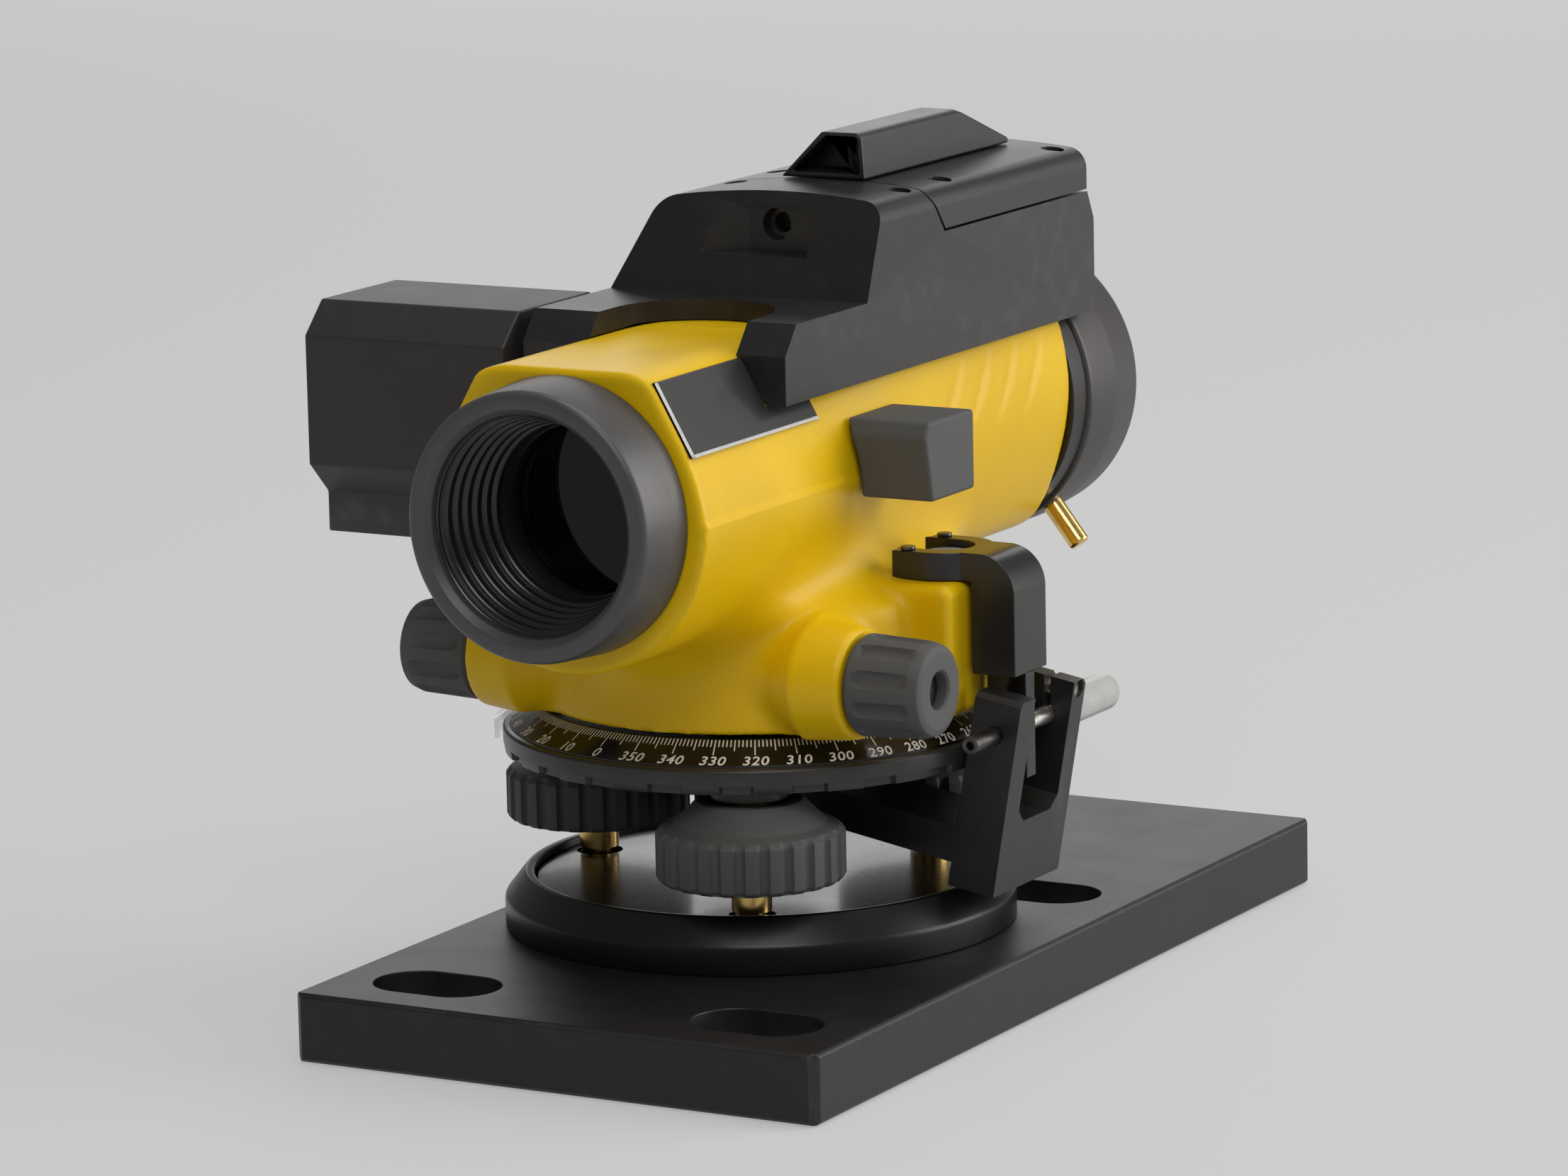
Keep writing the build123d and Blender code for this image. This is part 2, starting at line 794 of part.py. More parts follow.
for side, side_name in ((-1, "left"), (1, "right")):
    knob_axis = Axis((0, tangent_y, tangent_z), (1, 0, 0))
    with BuildPart() as tangent_knob:
        with BuildSketch(Plane.XY.offset(tangent_z)):
            with BuildLine():
                inner = side * (tangent_end_x - tangent_knob_length)
                outer = side * tangent_end_x
                Polyline(
                    (inner, tangent_y + tangent_shaft_r + fit_gap),
                    (inner, tangent_y + tangent_knob_r - 0.8),
                    (inner + side * 0.8, tangent_y + tangent_knob_r),
                    (outer - side * 4.0, tangent_y + tangent_knob_r - 0.4),
                    (outer - side * 0.6, tangent_y + tangent_knob_end_r),
                    (outer, tangent_y + tangent_knob_end_r - 1.0),
                    (outer, tangent_y + tangent_shaft_r + fit_gap),
                    close=True,
                )
            make_face()
        revolve(axis=knob_axis)
        with Locations(Location((inner, tangent_y, tangent_z), (0, 90, 0))):
            with PolarLocations(tangent_knob_r + 0.5, tangent_knob_ribs):
                Cylinder(1.3, (tangent_knob_length - 3.0) * 2, mode=Mode.SUBTRACT)
    save(tangent_knob.part, f"tangent_knob_{side_name}")

# ---------------------------------------------------------------- focusing
focus_inner = -tube_r - 0.6
with BuildPart() as focus_shaft:
    with BuildSketch(facing_right(focus_inner - focus_knob_length + 2.0)):
        with Locations((focus_y, axis_z)):
            Circle(focus_shaft_r)
    extrude(amount=focus_knob_length - 2.0 - focus_inner - tube_bore_r + 1.0)
save(focus_shaft.part, "focus_shaft")

with BuildPart() as focus_knob:
    with BuildSketch(facing_right(focus_inner - focus_knob_length)):
        with Locations((focus_y, axis_z)):
            Circle(focus_knob_r)
            with PolarLocations(focus_knob_r + 0.5, 20):
                Circle(1.1, mode=Mode.SUBTRACT)
    extrude(amount=focus_knob_length)
    with BuildSketch(facing_right(focus_inner - focus_knob_length + 1.9)):
        with Locations((focus_y, axis_z)):
            Circle(focus_shaft_r + fit_gap)
    extrude(amount=focus_knob_length, mode=Mode.SUBTRACT)
save(focus_knob.part, "focus_knob")

with BuildPart() as focus_carriage:
    with BuildSketch(facing_front(carriage_y + carriage_length / 2)):
        with Locations((0, axis_z)):
            Circle(carriage_r)
            Circle(carriage_r - 4.0, mode=Mode.SUBTRACT)
    extrude(amount=carriage_length)
save(focus_carriage.part, "focus_carriage")

with BuildPart() as focus_lens:
    with BuildSketch(facing_front(carriage_y + 2.5)):
        with Locations((0, axis_z)):
            Circle(carriage_r - 4.0 - fit_gap)
    extrude(amount=5.0)
save(focus_lens.part, "focus_lens")

# ---------------------------------------------------------------- compensator
pendulum_y = 52.0
with BuildPart() as compensator_frame:
    with BuildSketch(facing_front(pendulum_y + 12.0)):
        with Locations((0, axis_z - 2.0)):
            Rectangle(24.0, 28.0)
            Rectangle(18.2, 22.2, mode=Mode.SUBTRACT)
    extrude(amount=24.0)
save(compensator_frame.part, "compensator_frame")

with BuildPart() as compensator_prism:
    with BuildSketch(facing_right(-9.0)):
        with Locations((pendulum_y, axis_z - 2.0)):
            Trapezoid(20.0, 20.0, 72)
    extrude(amount=18.0)
save(compensator_prism.part, "compensator_prism")

# ---------------------------------------------------------------- vial and mirror housing
with BuildPart() as vial_ring:
    with BuildSketch(Plane.XY.offset(ledge_top + 0.05)):
        with Locations((vial_x, vial_y)):
            Circle(vial_ring_r)
    extrude(amount=vial_height)
    with BuildSketch(Plane.XY.offset(ledge_top + 1.5)):
        with Locations((vial_x, vial_y)):
            Circle(vial_r + 0.05)
    extrude(amount=vial_height, mode=Mode.SUBTRACT)
save(vial_ring.part, "vial_ring")

with BuildPart() as circular_vial:
    with BuildSketch(Plane.XY.offset(ledge_top + 1.55)):
        with Locations((vial_x, vial_y)):
            Circle(vial_r)
    extrude(amount=vial_height - 1.2)
save(circular_vial.part, "circular_vial")

with BuildPart() as mirror_housing:
    with BuildSketch(facing_right(20.0)):
        with BuildLine():
            Polyline(
                (mirror_front + 3.0, mirror_bottom),
                (mirror_front, mirror_top - 3.5),
                (mirror_front + 2.0, mirror_top),
                (mirror_rear, mirror_top),
                (mirror_rear, mirror_bottom),
                close=True,
            )
        make_face()
    extrude(amount=mirror_x - 20.0)
    with BuildSketch(facing_front(tube_rear)):
        add(tube_outline(0.1))
    extrude(amount=tube_length, mode=Mode.SUBTRACT)
save(mirror_housing.part, "mirror_housing")

# ---------------------------------------------------------------- saddle, lid and sight
with BuildPart() as saddle_blank:
    with BuildSketch(facing_right(-saddle_half)):
        with BuildLine():
            Polyline(
                (saddle_front, saddle_bottom),
                (saddle_front, horn_face_top),
                (saddle_front + horn_bevel, saddle_deck),
                (saddle_face_y, saddle_deck),
                (saddle_face_y + saddle_face_lean, saddle_top),
                (lid_rear, saddle_top),
                (lid_rear, lid_seam_z),
                (saddle_rear, saddle_rear_top),
                (saddle_rear, saddle_bottom),
                close=True,
            )
        make_face()
    extrude(amount=2 * saddle_half)
    with BuildSketch(facing_front(saddle_rear + 1.0)) as saddle_section:
        with BuildLine():
            Polyline(
                (saddle_half, saddle_right_top),
                (saddle_half, saddle_bottom - 1.0),
                (-saddle_half, saddle_bottom - 1.0),
                (-saddle_half, saddle_left_rise),
                (saddle_left_x, saddle_left_top),
            )
            ThreePointArc(
                (saddle_left_x, saddle_left_top),
                (saddle_crown_x, saddle_top - 0.05),
                (saddle_half, saddle_right_top),
            )
        make_face()
        shoulders = saddle_section.vertices().sort_by(Axis.Y)[-2:].sort_by(Axis.X)
        fillet(shoulders[0], saddle_left_fillet)
        right_shoulder = saddle_section.vertices().sort_by_distance((saddle_half, saddle_right_top))[0]
        fillet(right_shoulder, saddle_right_fillet)
    extrude(amount=saddle_rear - saddle_front + 2.0, mode=Mode.INTERSECT)
    with BuildSketch(facing_front(saddle_rear + 1.0)):
        add(tube_outline(saddle_gap))
    extrude(amount=saddle_rear + 2.0 - saddle_front, mode=Mode.SUBTRACT)
    with BuildSketch(facing_front(saddle_rear + 1.0)):
        with Locations((0, axis_z)):
            Circle(adapter_r_front + turning_gap)
    extrude(amount=saddle_rear + 1.0 - tube_rear, mode=Mode.SUBTRACT)
    with BuildSketch(Plane.XY.offset(saddle_bottom - 1.0)):
        with Locations((cutout_x, cutout_y)):
            Circle(cutout_r)
        with Locations((cutout_x, cutout_y - 20.0)):
            Rectangle(2 * cutout_r, 40.0)
    extrude(amount=40.0, mode=Mode.SUBTRACT)


def lid_outline(gap):
    """Side outline of the lid's space, moved out by a gap."""
    front = lid_front - gap
    with BuildSketch(mode=Mode.PRIVATE) as outline:
        with BuildLine():
            Polyline(
                (front, saddle_top + 5.0),
                (front, lid_front_drop),
                (front + lid_front_slant, lid_seam_z - gap),
                (lid_rear + gap * 20.0, lid_seam_z - gap),
                (lid_rear + gap * 20.0, saddle_top + 5.0),
                close=True,
            )
        make_face()
    return outline.sketch


with BuildPart() as saddle:
    add(saddle_blank.part)
    with BuildSketch(facing_right(-saddle_half - 10.0)):
        add(lid_outline(lid_gap))
    extrude(amount=2 * saddle_half + 20.0, mode=Mode.SUBTRACT)
    pocket_run = pocket_back - saddle_face_y + 3.0
    with BuildSketch(Plane.XY.offset(pocket_bottom)):
        with BuildLine():
            Polyline(
                (pocket_right, pocket_back),
                (pocket_left, pocket_back),
                (pocket_left - pocket_ramp * pocket_run, pocket_back - pocket_run),
                (pocket_right, pocket_back - pocket_run),
                close=True,
            )
        make_face()
    extrude(amount=pocket_top - pocket_bottom, mode=Mode.SUBTRACT)
    for screw_x in (lid_screw_left, lid_screw_right):
        with Locations((screw_x, body_screw_y, saddle_top - 4.0)):
            Cylinder(
                lid_screw_r + 0.4,
                20.0,
                align=(Align.CENTER, Align.CENTER, Align.MIN),
                mode=Mode.SUBTRACT,
            )
    with BuildSketch(facing_front(20.0)):
        with Locations((laser_x, laser_z)):
            Circle(laser_r + 0.1)
    extrude(amount=20.0, mode=Mode.SUBTRACT)
save(saddle.part, "saddle")

lid_screw_z = saddle_top - 4.0
lid_screw_places = [
    (screw_x, screw_y, lid_screw_z)
    for screw_x in (lid_screw_left, lid_screw_right)
    for screw_y in (body_screw_y, lid_screw_front_y, lid_screw_rear_y)
]
with BuildPart() as saddle_lid:
    add(saddle_blank.part)
    with BuildSketch(facing_right(-saddle_half - 10.0)):
        add(lid_outline(0.0))
    extrude(amount=2 * saddle_half + 20.0, mode=Mode.INTERSECT)
    with Locations(*lid_screw_places):
        Cylinder(
            lid_screw_r + 0.4,
            20.0,
            align=(Align.CENTER, Align.CENTER, Align.MIN),
            mode=Mode.SUBTRACT,
        )
save(saddle_lid.part, "saddle_lid")

with BuildPart() as laser_tube:
    with BuildSketch(facing_front(19.8)):
        with Locations((laser_x, laser_z)):
            Circle(laser_r)
            Circle(laser_r - 1.2, mode=Mode.SUBTRACT)
    extrude(amount=12.0)
    with BuildSketch(facing_front(19.8)):
        with Locations((laser_x, laser_z)):
            Circle(laser_r - 1.1)
    extrude(amount=8.0)
save(laser_tube.part, "laser_tube")

sight_base = saddle_top + 0.1
with BuildPart() as sight_tunnel:
    with BuildSketch(facing_front(sight_rear)):
        with BuildLine():
            Polyline(
                (sight_left_base, sight_base),
                (sight_left_top, sight_top),
                (sight_right - 1.0, sight_top),
                (sight_right, sight_top - 1.0),
                (sight_right + 0.6, sight_base),
                close=True,
            )
        make_face()
    extrude(amount=sight_rear - sight_front)
    with BuildSketch(facing_right(-20.0)):
        with BuildLine():
            Polyline(
                (sight_ridge_rear, sight_top + 0.5),
                (sight_rear + 1.0, sight_top + 0.5),
                (sight_rear + 1.0, sight_base + 1.0),
                close=True,
            )
        make_face()
    extrude(amount=60.0, mode=Mode.SUBTRACT)
    sight_hole_x = (sight_left_top + sight_right) / 2
    sight_hole_z = (sight_base + sight_top) / 2
    with BuildSketch(facing_front(sight_front + sight_depth)):
        with BuildLine():
            Polyline(
                (sight_left_base + sight_wall * 2.2, sight_base + sight_wall),
                (sight_left_top + sight_wall * 0.6, sight_top - sight_wall),
                (sight_right - sight_wall, sight_top - sight_wall),
                (sight_right - sight_wall + 0.4, sight_base + sight_wall),
                close=True,
            )
        make_face()
    extrude(amount=sight_depth + 1.0, mode=Mode.SUBTRACT)
save(sight_tunnel.part, "sight_tunnel")

with BuildPart() as sight_lens:
    with BuildSketch(facing_front(sight_front + sight_depth - 0.1)):
        with Locations((sight_hole_x, sight_hole_z)):
            Circle(sight_bore_r)
    extrude(amount=1.2)
save(sight_lens.part, "sight_lens")

with BuildPart() as lid_screws:
    with Locations(*lid_screw_places):
        Cylinder(lid_screw_r, 2.0, align=(Align.CENTER, Align.CENTER, Align.MIN))
save(lid_screws.part, "lid_screws")

# ---------------------------------------------------------------- side optics box
with BuildPart() as side_box:
    with BuildSketch(facing_right(box_left)):
        with BuildLine():
            Polyline(
                (box_front, box_face_bottom),
                (box_front, box_top - box_bevel),
                (box_front + box_bevel, box_top),
                (box_rear, box_top),
                (box_rear, box_bottom),
                (box_front + box_bevel, box_bottom),
                (box_front + box_bevel, box_face_bottom - box_bevel),
                close=True,
            )
        make_face()
    extrude(amount=box_right - box_left)
    with BuildSketch(facing_right(box_left + box_wall)):
        with BuildLine():
            Polyline(
                (box_front + box_wall, box_face_bottom + 1.0),
                (box_front + box_wall, box_top - box_bevel - 1.0),
                (box_front + box_bevel + 1.0, box_top - box_wall),
                (box_rear - box_wall, box_top - box_wall),
                (box_rear - box_wall, box_bottom + box_wall),
                (box_front + box_bevel + box_wall, box_bottom + box_wall),
                (box_front + box_bevel + box_wall, box_face_bottom - box_bevel + 1.0),
                close=True,
            )
        make_face()
    extrude(amount=box_right - box_left - 2 * box_wall, mode=Mode.SUBTRACT)
save(side_box.part, "side_box")

with BuildPart() as side_bracket:
    with BuildSketch(facing_right(box_right + bracket_gap)):
        with Locations(((saddle_front + box_rear) / 2 + 3.0, (saddle_bottom + box_top) / 2)):
            Rectangle(26.0, 13.0)
    extrude(amount=-saddle_half - box_right - 2 * bracket_gap)
save(side_bracket.part, "side_bracket")

# ---------------------------------------------------------------- label plate
label_centre = (label_front + label_rear) / 2
shoulder_run = tube_side_x - tube_shoulder_x
shoulder_rise = tube_shoulder_z - tube_side_z
shoulder_length = sqrt(shoulder_run**2 + shoulder_rise**2)
shoulder_normal = (shoulder_rise / shoulder_length, 0, shoulder_run / shoulder_length)
label_plane = Plane(
    origin=(
        (tube_side_x + tube_shoulder_x) / 2 + 0.06 * shoulder_normal[0],
        label_centre,
        (tube_side_z + tube_shoulder_z) / 2 + 0.06 * shoulder_normal[2],
    ),
    x_dir=(0, 1, 0),
    z_dir=shoulder_normal,
)
label_half = (label_rear - label_front) / 2
label_rise = (shoulder_length - 1.0) / 2
horn_at = label_horn_front - label_centre
with BuildPart() as label_plate:
    with BuildSketch(label_plane):
        with BuildLine():
            Polyline(
                (-label_half, -label_rise),
                (label_half, -label_rise),
                (label_half, label_step),
                (horn_at, label_step),
                (horn_at, label_rise),
                (-label_half, label_rise),
                close=True,
            )
        make_face()
    extrude(amount=label_thickness)
save(label_plate.part, "label_plate")

# ---------------------------------------------------------------- fork arm
plate_bottom = ledge_top + 0.15
prong_gap_r = vial_ring_r + 0.4
with BuildPart() as fork_arm:
    with BuildSketch(facing_front(arm_rear)):
        with BuildLine():
            Polyline(
                (arm_inner, arm_bottom),
                (arm_outer, arm_bottom),
                (arm_outer, arm_top),
                (vial_x, arm_top),
                (vial_x, plate_bottom),
                (arm_inner, plate_bottom),
                close=True,
            )
        make_face()
    extrude(amount=arm_rear - arm_front)
    outer_edges = fork_arm.edges().filter_by(Axis.Y).sort_by(Axis.Z)[-2:]
    fillet(outer_edges.sort_by(Axis.X)[-1], arm_corner_r)
    with BuildSketch(Plane.XY.offset(plate_bottom)):
        with Locations((vial_x, vial_y)):
            Circle(prong_gap_r + prong_width)
        with Locations(((vial_x + prong_end) / 2, vial_y)):
            Rectangle(vial_x - prong_end, 2 * (prong_gap_r + prong_width))
    extrude(amount=arm_top - plate_bottom)
    with BuildSketch(Plane.XY.offset(plate_bottom - 1.0)):
        with Locations((vial_x, vial_y)):
            Circle(prong_gap_r)
        with Locations((vial_x - 15.0, vial_y)):
            Rectangle(30.0, 2 * prong_gap_r)
    extrude(amount=20.0, mode=Mode.SUBTRACT)
    with BuildSketch(facing_front(blade_centre_y + blade_thickness / 2)):
        with Locations(((arm_inner + arm_outer) / 2, (blade_bottom + arm_bottom) / 2)):
            Rectangle(arm_outer - arm_inner - 1.0, arm_bottom - blade_bottom + 1.0)
    extrude(amount=blade_thickness)
save(fork_arm.part, "fork_arm")

with BuildPart() as arm_screws:
    for screw_y in (vial_y - prong_gap_r - prong_width / 2, vial_y + prong_gap_r + prong_width / 2):
        with Locations((prong_end + 3.0, screw_y, arm_top + 0.05)):
            Cylinder(1.7, 0.8, align=(Align.CENTER, Align.CENTER, Align.MIN))
save(arm_screws.part, "arm_screws")

# ---------------------------------------------------------------- adjuster post
lean = radians(post_lean)
post_plane = Plane(
    origin=(post_foot_x, 0, post_foot_z),
    x_dir=(cos(lean), 0, -sin(lean)),
    z_dir=(sin(lean), 0, cos(lean)),
)
post_side = Plane(origin=post_plane.origin, x_dir=(0, 1, 0), z_dir=post_plane.x_dir)
bracket_reach = post_foot_x - head_hub_r + 8.0
with BuildPart() as adjuster_post:
    with BuildSketch(post_side.offset(-post_width / 2)):
        with BuildLine():
            Polyline(
                (post_front, 0),
                (post_front, post_height - post_chamfer),
                (post_front + post_chamfer, post_height),
                (post_slot_front, post_height),
                (post_slot_front, post_slot_bottom + 3.0),
                (post_slot_front + 3.0, post_slot_bottom),
                (post_slot_rear - 3.0, post_slot_bottom),
                (post_slot_rear, post_slot_bottom + 3.0),
                (post_slot_rear, post_height),
                (post_rear - post_chamfer, post_height),
                (post_rear, post_height - post_chamfer),
                (post_rear, 0),
                close=True,
            )
        make_face()
    extrude(amount=post_width)
    with BuildSketch(post_plane.offset(bracket_rise)):
        with Locations((-bracket_reach / 2, (bracket_front + bracket_rear) / 2)):
            Rectangle(bracket_reach, bracket_rear - bracket_front)
    extrude(amount=bracket_thickness)
    with BuildSketch(Plane.XY.offset(0)):
        Circle(head_hub_r + fit_gap)
    extrude(amount=head_disc_bottom, mode=Mode.SUBTRACT)
    with BuildSketch(Plane.XY.offset(screw_axis_z)):
        with Locations((screw_axis_x, (post_slot_rear + post_rear) / 2)):
            Rectangle(slit_width, post_rear - post_slot_rear + 2.0)
    extrude(amount=20.0, mode=Mode.SUBTRACT)
    with BuildSketch(facing_front(post_rear + 1.0)):
        with Locations((screw_axis_x, screw_axis_z)):
            Circle(plunger_pin_r + fit_gap)
    extrude(amount=post_rear - post_front + 2.0, mode=Mode.SUBTRACT)
    with BuildSketch(facing_right(50.0)):
        with Locations(((post_slot_rear + post_rear) / 2, pinch_screw_z)):
            Circle(pinch_screw_r + fit_gap)
    extrude(amount=40.0, mode=Mode.SUBTRACT)
    with PolarLocations(foot_circle_r, foot_count, start_angle=foot_first_angle):
        with Locations((0, 0, foot_knob_bottom - knob_clearance)):
            Cylinder(
                foot_knob_r + knob_clearance,
                foot_knob_top - foot_knob_bottom + 2 * knob_clearance,
                align=(Align.CENTER, Align.CENTER, Align.MIN),
                mode=Mode.SUBTRACT,
            )
save(adjuster_post.part, "adjuster_post")

with BuildPart() as pinch_screw:
    with BuildSketch(facing_right(63.2)):
        with Locations(((post_slot_rear + post_rear) / 2, pinch_screw_z)):
            Circle(pinch_screw_r)
    extrude(amount=9.8)
save(pinch_screw.part, "pinch_screw")

blade_front = blade_centre_y - blade_thickness / 2
blade_back = blade_centre_y + blade_thickness / 2
with BuildPart() as set_screw:
    with BuildSketch(facing_front(blade_front - touch_gap)):
        with Locations((screw_axis_x, screw_axis_z)):
            Circle(set_screw_r)
    extrude(amount=blade_front - touch_gap - set_screw_end)
    with BuildSketch(facing_front(set_screw_end + 2.5)):
        with Locations((screw_axis_x, screw_axis_z)):
            RegularPolygon(1.1, 6)
    extrude(amount=4.0, mode=Mode.SUBTRACT)
save(set_screw.part, "set_screw")

with BuildPart() as plunger_pin:
    with BuildSketch(facing_front(post_rear + 6.0)):
        with Locations((screw_axis_x, screw_axis_z)):
            Circle(plunger_pin_r)
    extrude(amount=post_rear + 6.0 - blade_back - touch_gap)
save(plunger_pin.part, "plunger_pin")

with BuildPart() as plunger_cap:
    with BuildSketch(facing_front(plunger_cap_rear)):
        with Locations((screw_axis_x, screw_axis_z)):
            Circle(plunger_cap_r)
    extrude(amount=plunger_cap_rear - post_rear - 0.1)
    fillet(plunger_cap.edges().sort_by(Axis.Y)[-1], 2.5)
    with BuildSketch(facing_front(post_rear + 12.0)):
        with Locations((screw_axis_x, screw_axis_z)):
            Circle(plunger_pin_r + fit_gap)
    extrude(amount=14.0, mode=Mode.SUBTRACT)
save(plunger_cap.part, "plunger_cap")
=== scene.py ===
"""Looks of an automatic optical level on a slotted base plate.

Sizes in the classes are in millimetres, in the frame's own axes: +Z up, the
telescope looks along -Y, and the adjuster stands on the +X side.  Meshes are
written in metres.
"""

import json
import logging
import math
from dataclasses import dataclass, field
from enum import Enum
from typing import Callable, Iterable, Optional, Sequence

import bmesh
import bpy
import numpy as np
import openvdb
from mathutils import Matrix, Vector
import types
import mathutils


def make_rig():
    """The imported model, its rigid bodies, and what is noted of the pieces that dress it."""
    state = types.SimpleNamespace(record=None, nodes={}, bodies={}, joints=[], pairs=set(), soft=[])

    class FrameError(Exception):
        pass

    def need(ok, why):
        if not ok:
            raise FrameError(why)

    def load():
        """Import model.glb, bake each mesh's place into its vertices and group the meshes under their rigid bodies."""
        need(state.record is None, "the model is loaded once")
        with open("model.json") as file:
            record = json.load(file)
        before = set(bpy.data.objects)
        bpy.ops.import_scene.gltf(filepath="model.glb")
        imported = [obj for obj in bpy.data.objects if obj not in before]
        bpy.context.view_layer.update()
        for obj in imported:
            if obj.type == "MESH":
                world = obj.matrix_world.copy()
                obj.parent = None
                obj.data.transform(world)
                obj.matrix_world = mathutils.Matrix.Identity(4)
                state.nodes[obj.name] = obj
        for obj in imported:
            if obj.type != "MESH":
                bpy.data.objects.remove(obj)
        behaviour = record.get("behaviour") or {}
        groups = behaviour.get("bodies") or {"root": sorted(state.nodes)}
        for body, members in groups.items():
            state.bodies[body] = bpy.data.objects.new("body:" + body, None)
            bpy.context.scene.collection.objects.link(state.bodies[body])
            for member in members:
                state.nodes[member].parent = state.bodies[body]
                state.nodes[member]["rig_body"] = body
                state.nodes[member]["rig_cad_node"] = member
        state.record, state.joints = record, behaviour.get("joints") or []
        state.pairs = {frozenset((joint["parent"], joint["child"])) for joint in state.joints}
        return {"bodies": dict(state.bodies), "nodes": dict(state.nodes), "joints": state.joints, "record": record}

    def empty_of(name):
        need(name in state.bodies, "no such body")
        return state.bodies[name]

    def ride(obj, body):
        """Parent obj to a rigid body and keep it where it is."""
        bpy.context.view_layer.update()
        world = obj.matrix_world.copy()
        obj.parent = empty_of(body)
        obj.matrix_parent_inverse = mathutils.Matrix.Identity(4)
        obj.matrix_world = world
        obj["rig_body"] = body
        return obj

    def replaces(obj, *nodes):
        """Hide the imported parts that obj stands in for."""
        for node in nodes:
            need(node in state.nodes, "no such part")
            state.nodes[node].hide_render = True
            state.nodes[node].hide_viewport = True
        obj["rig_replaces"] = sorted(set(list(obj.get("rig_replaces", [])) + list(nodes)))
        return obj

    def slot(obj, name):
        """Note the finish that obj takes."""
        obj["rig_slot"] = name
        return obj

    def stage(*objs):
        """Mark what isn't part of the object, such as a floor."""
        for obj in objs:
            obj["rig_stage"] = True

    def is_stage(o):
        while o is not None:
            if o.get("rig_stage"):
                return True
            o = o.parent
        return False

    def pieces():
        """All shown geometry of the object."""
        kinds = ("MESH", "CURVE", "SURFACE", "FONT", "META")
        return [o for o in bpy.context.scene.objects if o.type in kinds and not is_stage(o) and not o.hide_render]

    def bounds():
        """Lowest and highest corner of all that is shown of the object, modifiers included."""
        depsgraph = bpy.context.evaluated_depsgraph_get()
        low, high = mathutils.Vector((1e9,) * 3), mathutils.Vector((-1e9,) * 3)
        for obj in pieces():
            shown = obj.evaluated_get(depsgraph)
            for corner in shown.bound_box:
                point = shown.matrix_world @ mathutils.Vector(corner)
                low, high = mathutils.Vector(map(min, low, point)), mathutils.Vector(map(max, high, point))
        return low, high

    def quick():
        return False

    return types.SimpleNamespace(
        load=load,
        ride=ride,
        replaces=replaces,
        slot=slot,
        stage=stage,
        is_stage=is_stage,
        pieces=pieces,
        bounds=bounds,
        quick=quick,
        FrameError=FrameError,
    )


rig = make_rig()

LOG = logging.getLogger("level")
MM = 0.001
Colour = tuple[float, float, float]
Point = tuple[float, float, float]


# --------------------------------------------------------------------------
# Shader graphs
# --------------------------------------------------------------------------
class Signal:
    """A number that varies over a surface, as an output socket of a graph."""

    def __init__(self, graph: "Graph", socket: bpy.types.NodeSocket) -> None:
        """Wrap a socket.

        Args:
            graph: The graph that new nodes go into.
            socket: The output socket that carries the number.
        """
        self.graph = graph
        self.socket = socket

    def _math(self, operation: str, *values: "Signal | float") -> "Signal":
        """Add one Math node and return its result."""
        inputs = {i: v for i, v in enumerate(values)}
        return self.graph.node("ShaderNodeMath", {"operation": operation}, inputs)

    def __add__(self, other: "Signal | float") -> "Signal":
        """Sum with another number."""
        return self._math("ADD", self, other)

    __radd__ = __add__

    def __sub__(self, other: "Signal | float") -> "Signal":
        """Difference from another number."""
        return self._math("SUBTRACT", self, other)

    def __rsub__(self, other: "Signal | float") -> "Signal":
        """Difference of a plain number and this one."""
        return self._math("SUBTRACT", other, self)

    def __mul__(self, other: "Signal | float") -> "Signal":
        """Product with another number."""
        return self._math("MULTIPLY", self, other)

    __rmul__ = __mul__

    def __truediv__(self, other: "Signal | float") -> "Signal":
        """Quotient by another number."""
        return self._math("DIVIDE", self, other)

    def __pow__(self, other: "Signal | float") -> "Signal":
        """Power of this number."""
        return self._math("POWER", self, other)

    def ramp(self, low: float, high: float) -> "Signal":
        """Rescale so that low becomes 0 and high becomes 1, clamped."""
        return self.graph.node(
            "ShaderNodeMapRange", {"clamp": True}, {0: self, 1: low, 2: high, 3: 0.0, 4: 1.0}
        )


